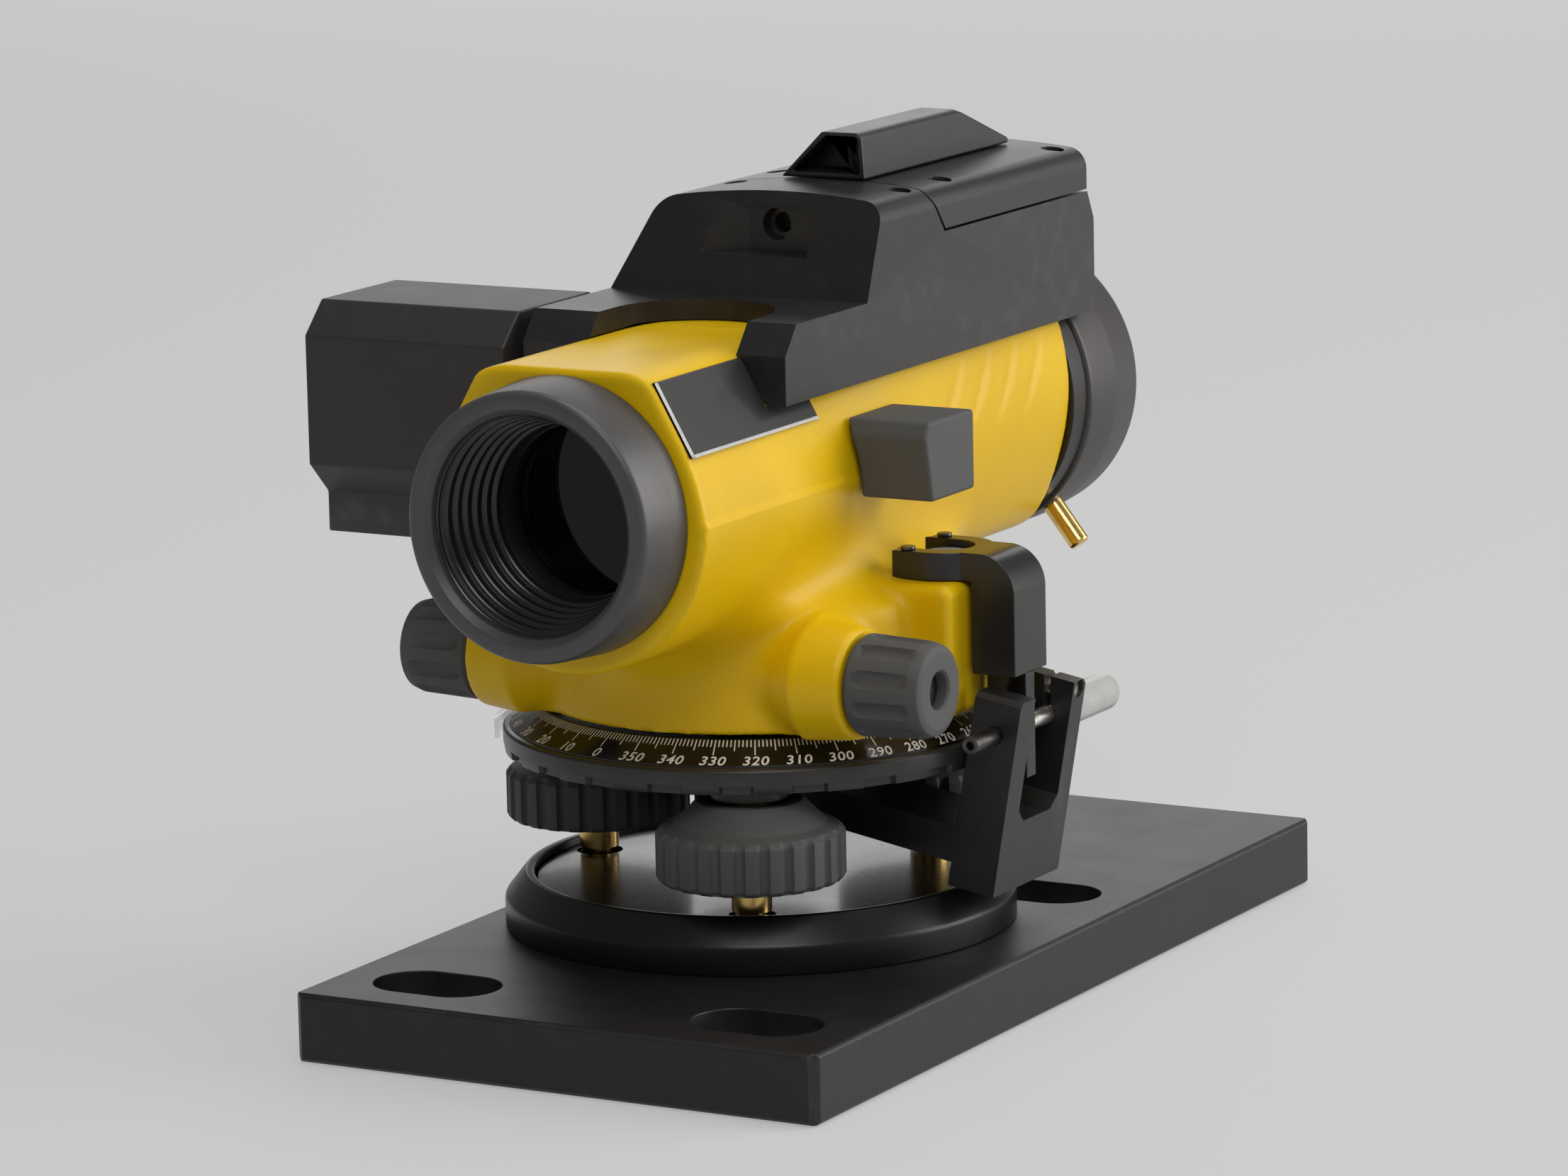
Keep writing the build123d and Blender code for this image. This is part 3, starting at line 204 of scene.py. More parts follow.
class Graph:
    """The node tree of one material, with its Principled shader."""

    def __init__(self, name: str) -> None:
        """Start an empty material.

        Args:
            name: Name of the material.
        """
        self.material = bpy.data.materials.new(name)
        self.material.use_nodes = True
        self.tree = self.material.node_tree
        self.shader = self.tree.nodes["Principled BSDF"]

    def node(
        self,
        kind: str,
        settings: Optional[dict] = None,
        values: Optional[dict] = None,
        output: "int | str" = 0,
    ) -> Signal:
        """Add one node.

        Args:
            kind: Type of the node.
            settings: Properties of the node, set before its sockets.
            values: Numbers, tuples or signals for its input sockets.
            output: Which output socket to return.

        Returns:
            The chosen output as a signal.
        """
        made = self.tree.nodes.new(kind)
        for key, value in (settings or {}).items():
            setattr(made, key, value)
        for key, value in (values or {}).items():
            if isinstance(value, Signal):
                self.tree.links.new(value.socket, made.inputs[key])
            else:
                made.inputs[key].default_value = value
        return Signal(self, made.outputs[output])

    def place(self) -> Signal:
        """Position on the object, in metres."""
        return self.node("ShaderNodeTexCoord", output="Object")

    def scaled(self, place: Signal, factors: Point) -> Signal:
        """A position with each axis multiplied by its own factor."""
        return self.node("ShaderNodeVectorMath", {"operation": "MULTIPLY"}, {0: place, 1: factors})

    def noise(self, scale: float, detail: float = 3.0, place: Optional[Signal] = None) -> Signal:
        """Smooth noise from 0 to 1.

        Args:
            scale: Cells per metre.
            detail: Octaves.
            place: Position to sample, or the object's own.

        Returns:
            The noise value.
        """
        at = place or self.place()
        return self.node("ShaderNodeTexNoise", None, {"Vector": at, "Scale": scale, "Detail": detail})

    def cells(self, scale: float) -> Signal:
        """Distance to the nearest cell centre, for cast or blasted grain."""
        return self.node("ShaderNodeTexVoronoi", None, {"Vector": self.place(), "Scale": scale})

    def edge_wear(self, low: float, high: float) -> Signal:
        """How convex the surface is, from 0 on flats to 1 on outer edges."""
        return self.node("ShaderNodeNewGeometry", output="Pointiness").ramp(low, high)

    def blend(self, first: Colour, second: Colour, amount: Signal) -> Signal:
        """A colour between two others."""
        return self.node(
            "ShaderNodeMix",
            {"data_type": "RGBA"},
            {0: amount, 6: (*first, 1.0), 7: (*second, 1.0)},
            output=2,
        )

    def bump(self, height: Signal, strength: float, distance_mm: float) -> None:
        """Feed the shader's normal from a height.

        Args:
            height: Height signal from 0 to 1.
            strength: Strength of the bump.
            distance_mm: Depth that a height of 1 stands for.
        """
        bump = self.node(
            "ShaderNodeBump",
            None,
            {"Strength": strength, "Distance": distance_mm * MM, "Height": height},
        )
        self.feed("Normal", bump)

    def feed(self, socket: str, value: "Signal | float | tuple") -> None:
        """Set or link one socket of the Principled shader."""
        target = self.shader.inputs[socket]
        if isinstance(value, Signal):
            self.tree.links.new(value.socket, target)
        elif isinstance(value, tuple) and len(value) == 3:
            target.default_value = (*value, 1.0)
        else:
            target.default_value = value


@dataclass(frozen=True)
class Finish:
    """A surface finish, made once and shared by the pieces that have it."""

    name: str

    def graph(self) -> Graph:
        """Return a new graph for this finish."""
        return Graph(self.name)

    def material(self) -> bpy.types.Material:
        """Return the finish's material, made on its first use."""
        found = bpy.data.materials.get(self.name)
        return found or self.dress(self.graph())

    def dress(self, graph: Graph) -> bpy.types.Material:
        """Fill the graph in; each finish does it its own way."""
        return graph.material


@dataclass(frozen=True)
class PowderCoat(Finish):
    """Sprayed and baked paint with a fine orange peel and faint dust."""

    colour: Colour = (0.78, 0.50, 0.001)
    shade: Colour = (0.68, 0.42, 0.001)
    roughness: float = 0.40

    def dress(self, graph: Graph) -> bpy.types.Material:
        """Build the paint."""
        broad = graph.noise(38.0, 3.0)
        speck = graph.noise(1900.0, 2.0)
        peel = graph.noise(950.0, 2.0)
        patches = (broad * 0.6 + speck * 0.4).ramp(0.35, 0.68)
        graph.feed("Base Color", graph.blend(self.shade, self.colour, patches))
        graph.feed("Roughness", speck * 0.14 + broad * 0.06 + (self.roughness - 0.1))
        graph.bump(peel * 0.7 + speck * 0.3, 0.22, 0.12)
        graph.feed("Coat Weight", 0.05)
        graph.feed("Coat Roughness", 0.25)
        graph.feed("Specular IOR Level", 0.22)
        return graph.material


@dataclass(frozen=True)
class Anodised(Finish):
    """Black anodised aluminium with a blasted grain, handling marks and pale edges."""

    colour: Colour = (0.0095, 0.0085, 0.0085)
    edge: Colour = (0.060, 0.056, 0.055)
    roughness: float = 0.40
    grain: float = 0.10

    def dress(self, graph: Graph) -> bpy.types.Material:
        """Build the anodised metal."""
        cloud = graph.noise(55.0, 4.0)
        grit = graph.noise(3200.0, 2.0)
        rubbed = graph.noise(190.0, 5.0).ramp(0.52, 0.78)
        wear = graph.edge_wear(0.53, 0.64) * (0.35 + rubbed * 0.65)
        tone = wear * 0.75 + rubbed * 0.10 + cloud * 0.10
        graph.feed("Base Color", graph.blend(self.colour, self.edge, tone))
        graph.feed("Roughness", grit * 0.16 + cloud * 0.10 + (self.roughness - 0.13))
        graph.feed("Metallic", cloud * 0.1 + 0.05)
        graph.bump(grit, self.grain, 0.08)
        graph.feed("Specular IOR Level", 0.5)
        return graph.material


@dataclass(frozen=True)
class Moulded(Finish):
    """Dark moulded plastic with a spark-eroded grain, pale worn edges and patches of dust."""

    colour: Colour = (0.050, 0.050, 0.049)
    pale: Colour = (0.105, 0.104, 0.100)
    roughness: float = 0.46
    grain: float = 0.22
    grain_scale: float = 1500.0

    def dress(self, graph: Graph) -> bpy.types.Material:
        """Build the plastic."""
        cloud = graph.noise(60.0, 4.0)
        grain = graph.cells(self.grain_scale)
        rubbed = graph.edge_wear(0.52, 0.62)
        dust = graph.noise(420.0, 6.0).ramp(0.60, 0.80)
        tone = cloud * 0.25 + rubbed * 0.45 + dust * 0.22
        graph.feed("Base Color", graph.blend(self.colour, self.pale, tone))
        graph.feed("Roughness", cloud * 0.12 + dust * 0.12 + (self.roughness - 0.08))
        graph.bump(grain, self.grain, 0.06)
        return graph.material


@dataclass(frozen=True)
class Gloss(Finish):
    """Smooth glossy plastic or enamel with faint wipe marks."""

    colour: Colour = (0.008, 0.008, 0.009)
    pale: Colour = (0.028, 0.028, 0.030)
    roughness: float = 0.16

    def dress(self, graph: Graph) -> bpy.types.Material:
        """Build the gloss."""
        wipes = graph.noise(70.0, 5.0, graph.scaled(graph.place(), (1.0, 1.0, 6.0)))
        specks = graph.noise(900.0, 2.0).ramp(0.66, 0.8)
        graph.feed("Base Color", graph.blend(self.colour, self.pale, wipes * 0.4 + specks * 0.4))
        graph.feed("Roughness", wipes * 0.14 + specks * 0.2 + (self.roughness - 0.06))
        graph.bump(specks, 0.08, 0.05)
        graph.feed("Coat Weight", 0.2)
        graph.feed("Coat Roughness", 0.1)
        graph.feed("Specular IOR Level", 0.3)
        return graph.material


@dataclass(frozen=True)
class Turned(Finish):
    """Turned or polished metal with fine tool rings and tarnish."""

    colour: Colour = (0.78, 0.76, 0.72)
    dull: Colour = (0.46, 0.44, 0.41)
    roughness: float = 0.24
    ring_scale: float = 2600.0
    axis: Point = (0.15, 0.15, 1.0)

    def dress(self, graph: Graph) -> bpy.types.Material:
        """Build the metal."""
        rings = graph.noise(self.ring_scale, 2.0, graph.scaled(graph.place(), self.axis))
        tarnish = graph.noise(160.0, 5.0).ramp(0.42, 0.72)
        graph.feed("Base Color", graph.blend(self.colour, self.dull, tarnish * 0.8))
        graph.feed("Metallic", 1.0)
        graph.feed("Roughness", rings * 0.12 + tarnish * 0.16 + (self.roughness - 0.08))
        graph.bump(rings, 0.12, 0.03)
        return graph.material


@dataclass(frozen=True)
class Coated(Finish):
    """Coated optical glass with a thin purple coating and a little dust, drawn opaque; its near-black colour is
    painted shade for the dark inside of the telescope seen through it.
    """

    # Near-black colour: painted shade for the dark telescope interior seen through the glass, not the glass's own
    # colour.
    colour: Colour = (0.0015, 0.0008, 0.0012)
    tint: Colour = (0.010, 0.003, 0.006)

    def dress(self, graph: Graph) -> bpy.types.Material:
        """Build the coated glass."""
        dust = graph.noise(1300.0, 3.0).ramp(0.70, 0.85)
        sweep = graph.noise(26.0, 2.0)
        # Base colour kept near black: painted shade in place of the view through the lens.
        graph.feed("Base Color", graph.blend(self.colour, self.tint, sweep * 0.6 + dust * 0.3))
        graph.feed("Roughness", dust * 0.25 + sweep * 0.03 + 0.02)
        graph.feed("Coat Weight", 0.25)
        graph.feed("Coat Roughness", 0.02)
        graph.feed("Specular IOR Level", 0.12)
        graph.feed("Coat Tint", (0.85, 0.55, 0.95, 1.0))
        return graph.material


@dataclass(frozen=True)
class Clear(Finish):
    """Clear or milky moulded plastic and glass, seen through."""

    colour: Colour = (0.80, 0.82, 0.80)
    haze: Colour = (0.92, 0.92, 0.90)
    alpha: float = 0.38
    roughness: float = 0.12

    def dress(self, graph: Graph) -> bpy.types.Material:
        """Build the clear plastic."""
        smear = graph.noise(220.0, 4.0)
        scratch = graph.noise(2400.0, 2.0, graph.scaled(graph.place(), (1.0, 0.1, 1.0))).ramp(0.62, 0.8)
        graph.feed("Base Color", graph.blend(self.colour, self.haze, smear))
        graph.feed("Roughness", smear * 0.12 + scratch * 0.2 + self.roughness * 0.6)
        graph.feed("Alpha", self.alpha)
        graph.bump(smear, 0.08, 0.05)
        graph.feed("Coat Weight", 0.4)
        return graph.material


@dataclass(frozen=True)
class Ink(Finish):
    """Flat printed ink, slightly uneven."""

    colour: Colour = (0.80, 0.80, 0.76)
    worn: Colour = (0.52, 0.52, 0.49)

    def dress(self, graph: Graph) -> bpy.types.Material:
        """Build the ink."""
        worn = graph.noise(700.0, 4.0).ramp(0.5, 0.8)
        graph.feed("Base Color", graph.blend(self.colour, self.worn, worn))
        graph.feed("Roughness", worn * 0.2 + 0.5)
        graph.bump(graph.noise(2600.0), 0.1, 0.02)
        return graph.material


class Finishes:
    """Every finish on the instrument."""

    YELLOW = PowderCoat("yellow_powder_coat")
    MACHINED = Anodised("black_anodised")
    BLASTED = Anodised(
        "black_blasted", colour=(0.024, 0.022, 0.022), edge=(0.07, 0.066, 0.065), roughness=0.50, grain=0.2
    )
    PLATE = Anodised(
        "plate_anodised", colour=(0.005, 0.0042, 0.006), edge=(0.05, 0.047, 0.05), roughness=0.46, grain=0.12
    )
    SATIN = Anodised(
        "satin_black_paint",
        colour=(0.016, 0.0145, 0.014),
        edge=(0.045, 0.043, 0.042),
        roughness=0.38,
        grain=0.1,
    )
    HOOD = Moulded(
        "hood_plastic", colour=(0.050, 0.048, 0.049), pale=(0.12, 0.117, 0.117), roughness=0.42, grain=0.12
    )
    BAFFLE = Moulded(
        "baffle_black", colour=(0.010, 0.010, 0.010), pale=(0.045, 0.043, 0.042), roughness=0.30, grain=0.1
    )
    KNOB = Moulded(
        "knob_plastic", colour=(0.048, 0.047, 0.045), pale=(0.105, 0.102, 0.098), roughness=0.42, grain=0.28
    )
    ADAPTER = Moulded(
        "adapter_black", colour=(0.034, 0.031, 0.030), pale=(0.07, 0.067, 0.065), roughness=0.46, grain=0.15
    )
    CIRCLE = Moulded(
        "circle_plastic", colour=(0.018, 0.017, 0.016), pale=(0.055, 0.053, 0.051), roughness=0.34, grain=0.18
    )
    BAND = Gloss("circle_band", colour=(0.004, 0.004, 0.004), pale=(0.012, 0.012, 0.012), roughness=0.20)
    GLOSS = Gloss("gloss_black", colour=(0.006, 0.0055, 0.005))
    LABEL = Gloss("label_black", colour=(0.020, 0.019, 0.020), pale=(0.032, 0.030, 0.030), roughness=0.34)
    SILVER = Turned("label_silver", colour=(0.50, 0.50, 0.50), dull=(0.36, 0.36, 0.36), roughness=0.34)
    STEEL = Turned("turned_steel")
    SPRING = Gloss("spring_black", colour=(0.004, 0.0035, 0.003), pale=(0.012, 0.011, 0.010), roughness=0.24)
    OXIDE = Turned("black_oxide", colour=(0.13, 0.125, 0.12), dull=(0.06, 0.058, 0.056), roughness=0.34)
    BRASS = Turned("turned_brass", colour=(0.86, 0.60, 0.22), dull=(0.55, 0.34, 0.10), roughness=0.22)
    LENS = Coated("coated_lens")
    GLASS = Clear("optical_glass", roughness=0.05)
    WINDOW = Clear("index_window", alpha=0.30)
    NYLON = Clear(
        "milky_nylon", colour=(0.42, 0.43, 0.42), haze=(0.56, 0.57, 0.55), alpha=0.78, roughness=0.4
    )
    INK = Ink("dial_ink")
    CAST = Moulded(
        "cast_black",
        colour=(0.060, 0.057, 0.056),
        pale=(0.15, 0.146, 0.143),
        roughness=0.45,
        grain=0.35,
        grain_scale=900.0,
    )


# --------------------------------------------------------------------------
# Mesh tools
# --------------------------------------------------------------------------
class Turning(Enum):
    """Direction of a lathe axis."""

    UP = 2
    BACK = 1
    RIGHT = 0


class Piece:
    """One visible piece of the instrument."""

    def __init__(self, name: str, mesh: bpy.types.Mesh, finish: Finish, sharp_deg: float = 32.0) -> None:
        """Put a mesh in the scene.

        Args:
            name: Name of the piece.
            mesh: Its mesh, in metres.
            finish: Its main finish.
            sharp_deg: Edges sharper than this stay hard.
        """
        mesh.name = name
        self.object = bpy.data.objects.new(name, mesh)
        bpy.context.scene.collection.objects.link(self.object)
        mesh.materials.clear()
        mesh.materials.append(finish.material())
        if not mesh.has_custom_normals:
            mesh.polygons.foreach_set("use_smooth", [True] * len(mesh.polygons))
            mesh.set_sharp_from_angle(angle=math.radians(sharp_deg))

    def on(self, body: str, slot: str, *nodes: str) -> "Piece":
        """Ride on a body, take a slot and stand for CAD nodes."""
        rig.ride(self.object, body)
        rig.slot(self.object, slot)
        if nodes:
            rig.replaces(self.object, *nodes)
        LOG.info("%s: %d faces", self.object.name, len(self.object.data.polygons))
        return self

    def second_finish(self, finish: Finish, chosen: Callable[[Vector, Vector], bool]) -> "Piece":
        """Give some faces another finish.

        Args:
            finish: The other finish.
            chosen: Test of a face's centre in millimetres and its normal.

        Returns:
            This piece.
        """
        mesh = self.object.data
        mesh.materials.append(finish.material())
        index = len(mesh.materials) - 1
        for face in mesh.polygons:
            if chosen(face.center / MM, face.normal):
                face.material_index = index
        return self


def mesh_from(vertices: np.ndarray, faces: Sequence[Sequence[int]]) -> bpy.types.Mesh:
    """Make a mesh from points in millimetres.

    Args:
        vertices: Points, one row each.
        faces: Corner indices of each face.

    Returns:
        The mesh, in metres.
    """
    mesh = bpy.data.meshes.new("piece")
    mesh.from_pydata((np.asarray(vertices, float) * MM).tolist(), [], [list(map(int, f)) for f in faces])
    mesh.validate()
    mesh.update()
    return mesh


def rounded(profile: Sequence[Sequence[float]], steps: int = 4) -> list[tuple[float, float]]:
    """Round the corners of a profile.

    Args:
        profile: Corners as (a, b) or (a, b, radius).
        steps: Segments in each rounded corner.

    Returns:
        The closed outline's points.
    """
    points: list[tuple[float, float]] = []
    count = len(profile)
    for i, corner in enumerate(profile):
        here = Vector(corner[:2])
        radius = corner[2] if len(corner) > 2 else 0.0
        before = Vector(profile[i - 1][:2]) - here
        after = Vector(profile[(i + 1) % count][:2]) - here
        if radius <= 0 or before.length < 1e-6 or after.length < 1e-6:
            points.append((here.x, here.y))
            continue
        turn = before.angle(after)
        reach = min(radius / math.tan(turn / 2), before.length * 0.49, after.length * 0.49)
        start = here + before.normalized() * reach
        end = here + after.normalized() * reach
        for k in range(steps + 1):
            t = k / steps
            point = start.lerp(here, t).lerp(here.lerp(end, t), t)
            points.append((point.x, point.y))
    return points


def lathe(
    profile: Sequence[Sequence[float]],
    axis: Turning,
    centre: Point,
    segments: int = 128,
    shape: Optional[Callable[[float, float, float], float]] = None,
    steps: int = 4,
) -> bpy.types.Mesh:
    """Turn a closed profile about an axis.

    Args:
        profile: Corners as (radius, along) or (radius, along, rounding).
        axis: Direction of the axis.
        centre: A point on the axis; along is measured from it.
        segments: Segments round the axis.
        shape: Radius from (radius, along, angle), for ribs and grooves.
        steps: Segments in each rounded corner.

    Returns:
        The turned mesh.
    """
    outline = rounded(profile, steps)
    angles = np.arange(segments) * (2 * math.pi / segments)
    rows = []
    for radius, along in outline:
        for angle in angles:
            r = shape(radius, along, float(angle)) if shape else radius
            a, b = r * math.cos(angle), r * math.sin(angle)
            spot = {
                Turning.UP: (a, b, along),
                Turning.BACK: (a, along, b),
                Turning.RIGHT: (along, a, b),
            }[axis]
            rows.append([s + c for s, c in zip(spot, centre)])
    faces = []
    rings = len(outline)
    for i in range(rings):
        j = (i + 1) % rings
        for k in range(segments):
            m = (k + 1) % segments
            faces.append((i * segments + k, i * segments + m, j * segments + m, j * segments + k))
    mesh = mesh_from(np.array(rows), faces)
    return outward(mesh)


def outward(mesh: bpy.types.Mesh) -> bpy.types.Mesh:
    """Weld a mesh and turn its faces outwards."""
    work = bmesh.new()
    work.from_mesh(mesh)
    bmesh.ops.remove_doubles(work, verts=work.verts, dist=1e-6)
    bmesh.ops.recalc_face_normals(work, faces=work.faces)
    work.to_mesh(mesh)
    work.free()
    return mesh


def edge_broken(
    node: str, width: float, segments: int = 2, angle_deg: float = 24.0, flat_deg: float = 0.6
) -> bpy.types.Mesh:
    """A node's shape as a new mesh, with its sharp edges broken.

    Args:
        node: The CAD node.
        width: Width of the broken edge.
        segments: Segments across it.
        angle_deg: Edges sharper than this are broken.
        flat_deg: Faces flatter than this to each other are joined.

    Returns:
        The new mesh.
    """
    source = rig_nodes()[node]
    mesh = source.data.copy()
    work = bmesh.new()
    work.from_mesh(mesh)
    bmesh.ops.remove_doubles(work, verts=work.verts, dist=2e-6)
    bmesh.ops.dissolve_limit(
        work,
        angle_limit=math.radians(flat_deg),
        use_dissolve_boundaries=False,
        verts=work.verts,
        edges=work.edges,
    )
    for edge in work.edges:
        edge.smooth = True
    for face in work.faces:
        face.smooth = True
    work.to_mesh(mesh)
    work.free()
    holder = bpy.data.objects.new("holder", mesh)
    bpy.context.scene.collection.objects.link(holder)
    bevel = holder.modifiers.new("edges", "BEVEL")
    bevel.width = width * MM
    bevel.segments = segments
    bevel.limit_method = "ANGLE"
    bevel.angle_limit = math.radians(angle_deg)
    bevel.use_clamp_overlap = True
    bevel.miter_outer = "MITER_ARC"
    weighted = holder.modifiers.new("normals", "WEIGHTED_NORMAL")
    weighted.keep_sharp = True
    depsgraph = bpy.context.evaluated_depsgraph_get()
    result = bpy.data.meshes.new_from_object(holder.evaluated_get(depsgraph))
    bpy.data.objects.remove(holder)
    return result


FRAME: dict = {}


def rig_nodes() -> dict:
    """The CAD nodes by name."""
    return FRAME["nodes"]


def rounded_max(first: np.ndarray, second: np.ndarray, blend: float) -> np.ndarray:
    """The larger of two distances, with the corner between them rounded.

    Args:
        first: One distance.
        second: The other distance.
        blend: Width of the rounded corner.

    Returns:
        The distance of the shape inside both.
    """
    h = np.clip(0.5 - 0.5 * (second - first) / blend, 0, 1)
    return second + (first - second) * h + blend * h * (1 - h)


class Field:
    """A solid given by its distance field, for cast and blended shapes."""

    def __init__(self, distance: Callable[[np.ndarray, np.ndarray, np.ndarray], np.ndarray]) -> None:
        """Wrap a distance function.

        Args:
            distance: Distance at arrays of x, y and z; negative inside.
        """
        self.distance = distance

    def join(self, other: "Field", blend: float = 0.0) -> "Field":
        """Union with another field, filleted by a blend radius."""

        def both(x: np.ndarray, y: np.ndarray, z: np.ndarray) -> np.ndarray:
            """Distance of the union."""
            a, b = self.distance(x, y, z), other.distance(x, y, z)
            if blend <= 0:
                return np.minimum(a, b)
            h = np.clip(0.5 + 0.5 * (b - a) / blend, 0, 1)
            return b + (a - b) * h - blend * h * (1 - h)

        return Field(both)

    def cut(self, other: "Field", blend: float = 0.0) -> "Field":
        """This field without another, with the mouth rounded."""
        turned = Field(lambda x, y, z: -other.distance(x, y, z))
        return self.within(turned, blend)

    def within(self, other: "Field", blend: float = 0.0) -> "Field":
        """Intersection with another field, with rounded edges."""

        def both(x: np.ndarray, y: np.ndarray, z: np.ndarray) -> np.ndarray:
            """Distance of the intersection."""
            a, b = self.distance(x, y, z), other.distance(x, y, z)
            return rounded_max(a, b, blend) if blend > 0 else np.maximum(a, b)

        return Field(both)

    @staticmethod
    def slab(axis: int, low: float, high: float) -> "Field":
        """All points between two planes across an axis."""
        middle, half = (low + high) / 2, (high - low) / 2
        return Field(lambda *p: np.abs(p[axis] - middle) - half)

    @staticmethod
    def rod(axis: int, centre: Point, radius: float, low: float, high: float) -> "Field":
        """A round bar along an axis."""
        others = [i for i in range(3) if i != axis]

        def distance(*p: np.ndarray) -> np.ndarray:
            """Distance of the bar."""
            a, b = (p[i] - centre[i] for i in others)
            side = np.sqrt(a * a + b * b) - radius
            ends = np.abs(p[axis] - (low + high) / 2) - (high - low) / 2
            return np.maximum(side, ends)

        return Field(distance)

    @staticmethod
    def block(low: Point, high: Point, rounding: float) -> "Field":
        """A box with rounded edges."""
        middle = [(a + b) / 2 for a, b in zip(low, high)]
        half = [(b - a) / 2 - rounding for a, b in zip(low, high)]

        def distance(*p: np.ndarray) -> np.ndarray:
            """Distance of the box."""
            q = [np.abs(p[i] - middle[i]) - half[i] for i in range(3)]
            outside = np.sqrt(sum(np.maximum(v, 0) ** 2 for v in q))
            inside = np.minimum(np.maximum(np.maximum(q[0], q[1]), q[2]), 0)
            return outside + inside - rounding

        return Field(distance)

    def mesh(self, low: Point, high: Point, cell: float) -> bpy.types.Mesh:
        """Polygonise the field.

        Args:
            low: Low corner of the grid.
            high: High corner of the grid.
            cell: Size of a grid cell.

        Returns:
            The mesh, its points moved onto the surface.
        """
        axes = [np.arange(a, b + cell, cell, dtype=np.float32) for a, b in zip(low, high)]
        x, y, z = np.meshgrid(*axes, indexing="ij")
        values = self.distance(x, y, z).astype(np.float32)
        grid = openvdb.FloatGrid(float(3 * cell))
        grid.copyFromArray(np.clip(values, -3 * cell, 3 * cell))
        points, triangles, quads = grid.convertToPolygons(isovalue=0.0, adaptivity=0.0)
        places = points.astype(np.float64) * cell + np.array(low)
        for _ in range(4):
            places = self._settle(places, cell)
        faces = [tuple(f) for f in quads] + [tuple(f) for f in triangles]
        return outward(mesh_from(places, faces))

    def _settle(self, places: np.ndarray, cell: float) -> np.ndarray:
        """Move points one step onto the surface along the field's slope."""
        step = 0.05
        x, y, z = places.T
        here = self.distance(x, y, z)
        slope = np.stack(
            [
                self.distance(x + step, y, z) - self.distance(x - step, y, z),
                self.distance(x, y + step, z) - self.distance(x, y - step, z),
                self.distance(x, y, z + step) - self.distance(x, y, z - step),
            ],
            axis=1,
        ) / (2 * step)
        size = np.maximum((slope**2).sum(axis=1, keepdims=True), 0.2)
        move = -here[:, None] * slope / size
        return places + np.clip(move, -0.4 * cell, 0.4 * cell)


# --------------------------------------------------------------------------
# Pieces taken from the frame with their edges broken
# --------------------------------------------------------------------------
@dataclass(frozen=True)
class Machined:
    """A CAD node shown with its machined edges broken."""

    node: str
    finish: Finish
    edge: float = 0.4
    segments: int = 2
    flat_deg: float = 0.6

    def build(self) -> Piece:
        """Make the piece and put it in place of the node."""
        mesh = edge_broken(self.node, self.edge, self.segments, flat_deg=self.flat_deg)
        piece = Piece(self.node.replace("_", ".", 1) + ".detail", mesh, self.finish, sharp_deg=60.0)
        return piece.on(body_of(self.node), slot_of(self.node), self.node)


def machine(*rows: tuple) -> None:
    """Build several machined pieces.

    Args:
        *rows: The fields of each Machined, in order.
    """
    for row in rows:
        Machined(*row).build()


def body_of(node: str) -> str:
    """The body that a CAD node rides on."""
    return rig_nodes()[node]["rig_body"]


def slot_of(node: str) -> str:
    """The material slot that the record gives a node."""
    return FRAME["slots"][node]


def repaint(finish: Finish, *nodes: str) -> None:
    """Give CAD nodes that stay as they are a better finish.

    Args:
        finish: The finish.
        *nodes: The nodes that take it.
    """
    for node in nodes:
        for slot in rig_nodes()[node].material_slots:
            slot.material = finish.material()
        LOG.info("%s: kept, %s", node, finish.name)


def dense(profile: Sequence[Sequence[float]], start: int, count: int) -> list:
    """Divide one side of a profile, so that a shape can follow it.

    Args:
        profile: The corners.
        start: Index of the corner that the side starts from.
        count: Number of parts.

    Returns:
        The profile with plain points between the two corners.
    """
    a, b = profile[start][:2], profile[(start + 1) % len(profile)][:2]
    between = [tuple(p + (q - p) * k / count for p, q in zip(a, b)) for k in range(1, count)]
    return list(profile[: start + 1]) + between + list(profile[start + 1 :])


def groove(angle: float, count: int, width: float) -> float:
    """Depth from 0 to 1 of evenly spaced round-bottomed grooves.

    Args:
        angle: Angle round the knob.
        count: Number of grooves.
        width: Share of the pitch that a groove takes.

    Returns:
        The depth.
    """
    phase = (angle * count / (2 * math.pi)) % 1.0
    offset = abs(phase - 0.5) * 2 / width
    return math.sqrt(1 - offset**2) ** 0.7 if offset < 1 else 0.0


# --------------------------------------------------------------------------
# Base
# --------------------------------------------------------------------------
@dataclass
class Base:
    """The slotted plate and the footplate screwed on it."""

    plate_edge: float = 0.35
    wall_r: float = 59.6
    wall_top: float = 22.6
    lip_r: float = 54.6
    lip_top: float = 28.9
    recess_r: float = 52.7
    floor_top: float = 21.0
    bottom: float = 16.0
    bore_r: float = 7.94
    segments: int = 256

    def build(self) -> None:
        """Build and dress every piece of the base."""
        Machined("base_plate", Finishes.PLATE, self.plate_edge, 3).build()
        profile = [
            (self.bore_r, self.bottom),
            (self.wall_r, self.bottom, 0.5),
            (self.wall_r, self.wall_top, 2.0),
            (self.lip_r, self.lip_top, 1.2),
            (self.recess_r, self.lip_top - 0.3, 0.5),
            (self.recess_r, self.floor_top, 0.4),
            (self.bore_r, self.floor_top, 0.3),
        ]
        mesh = lathe(profile, Turning.UP, (0.0, 0.0, 0.0), self.segments)
        Piece("footplate.cast", mesh, Finishes.CAST, 40.0).on("base", "footplate_black", "footplate")
        Machined("spring_plate", Finishes.SPRING, 0.15).build()
        repaint(Finishes.BRASS, "foot_sockets", "foot_balls_ab", "foot_ball_c")
        repaint(Finishes.OXIDE, "fixing_screws")


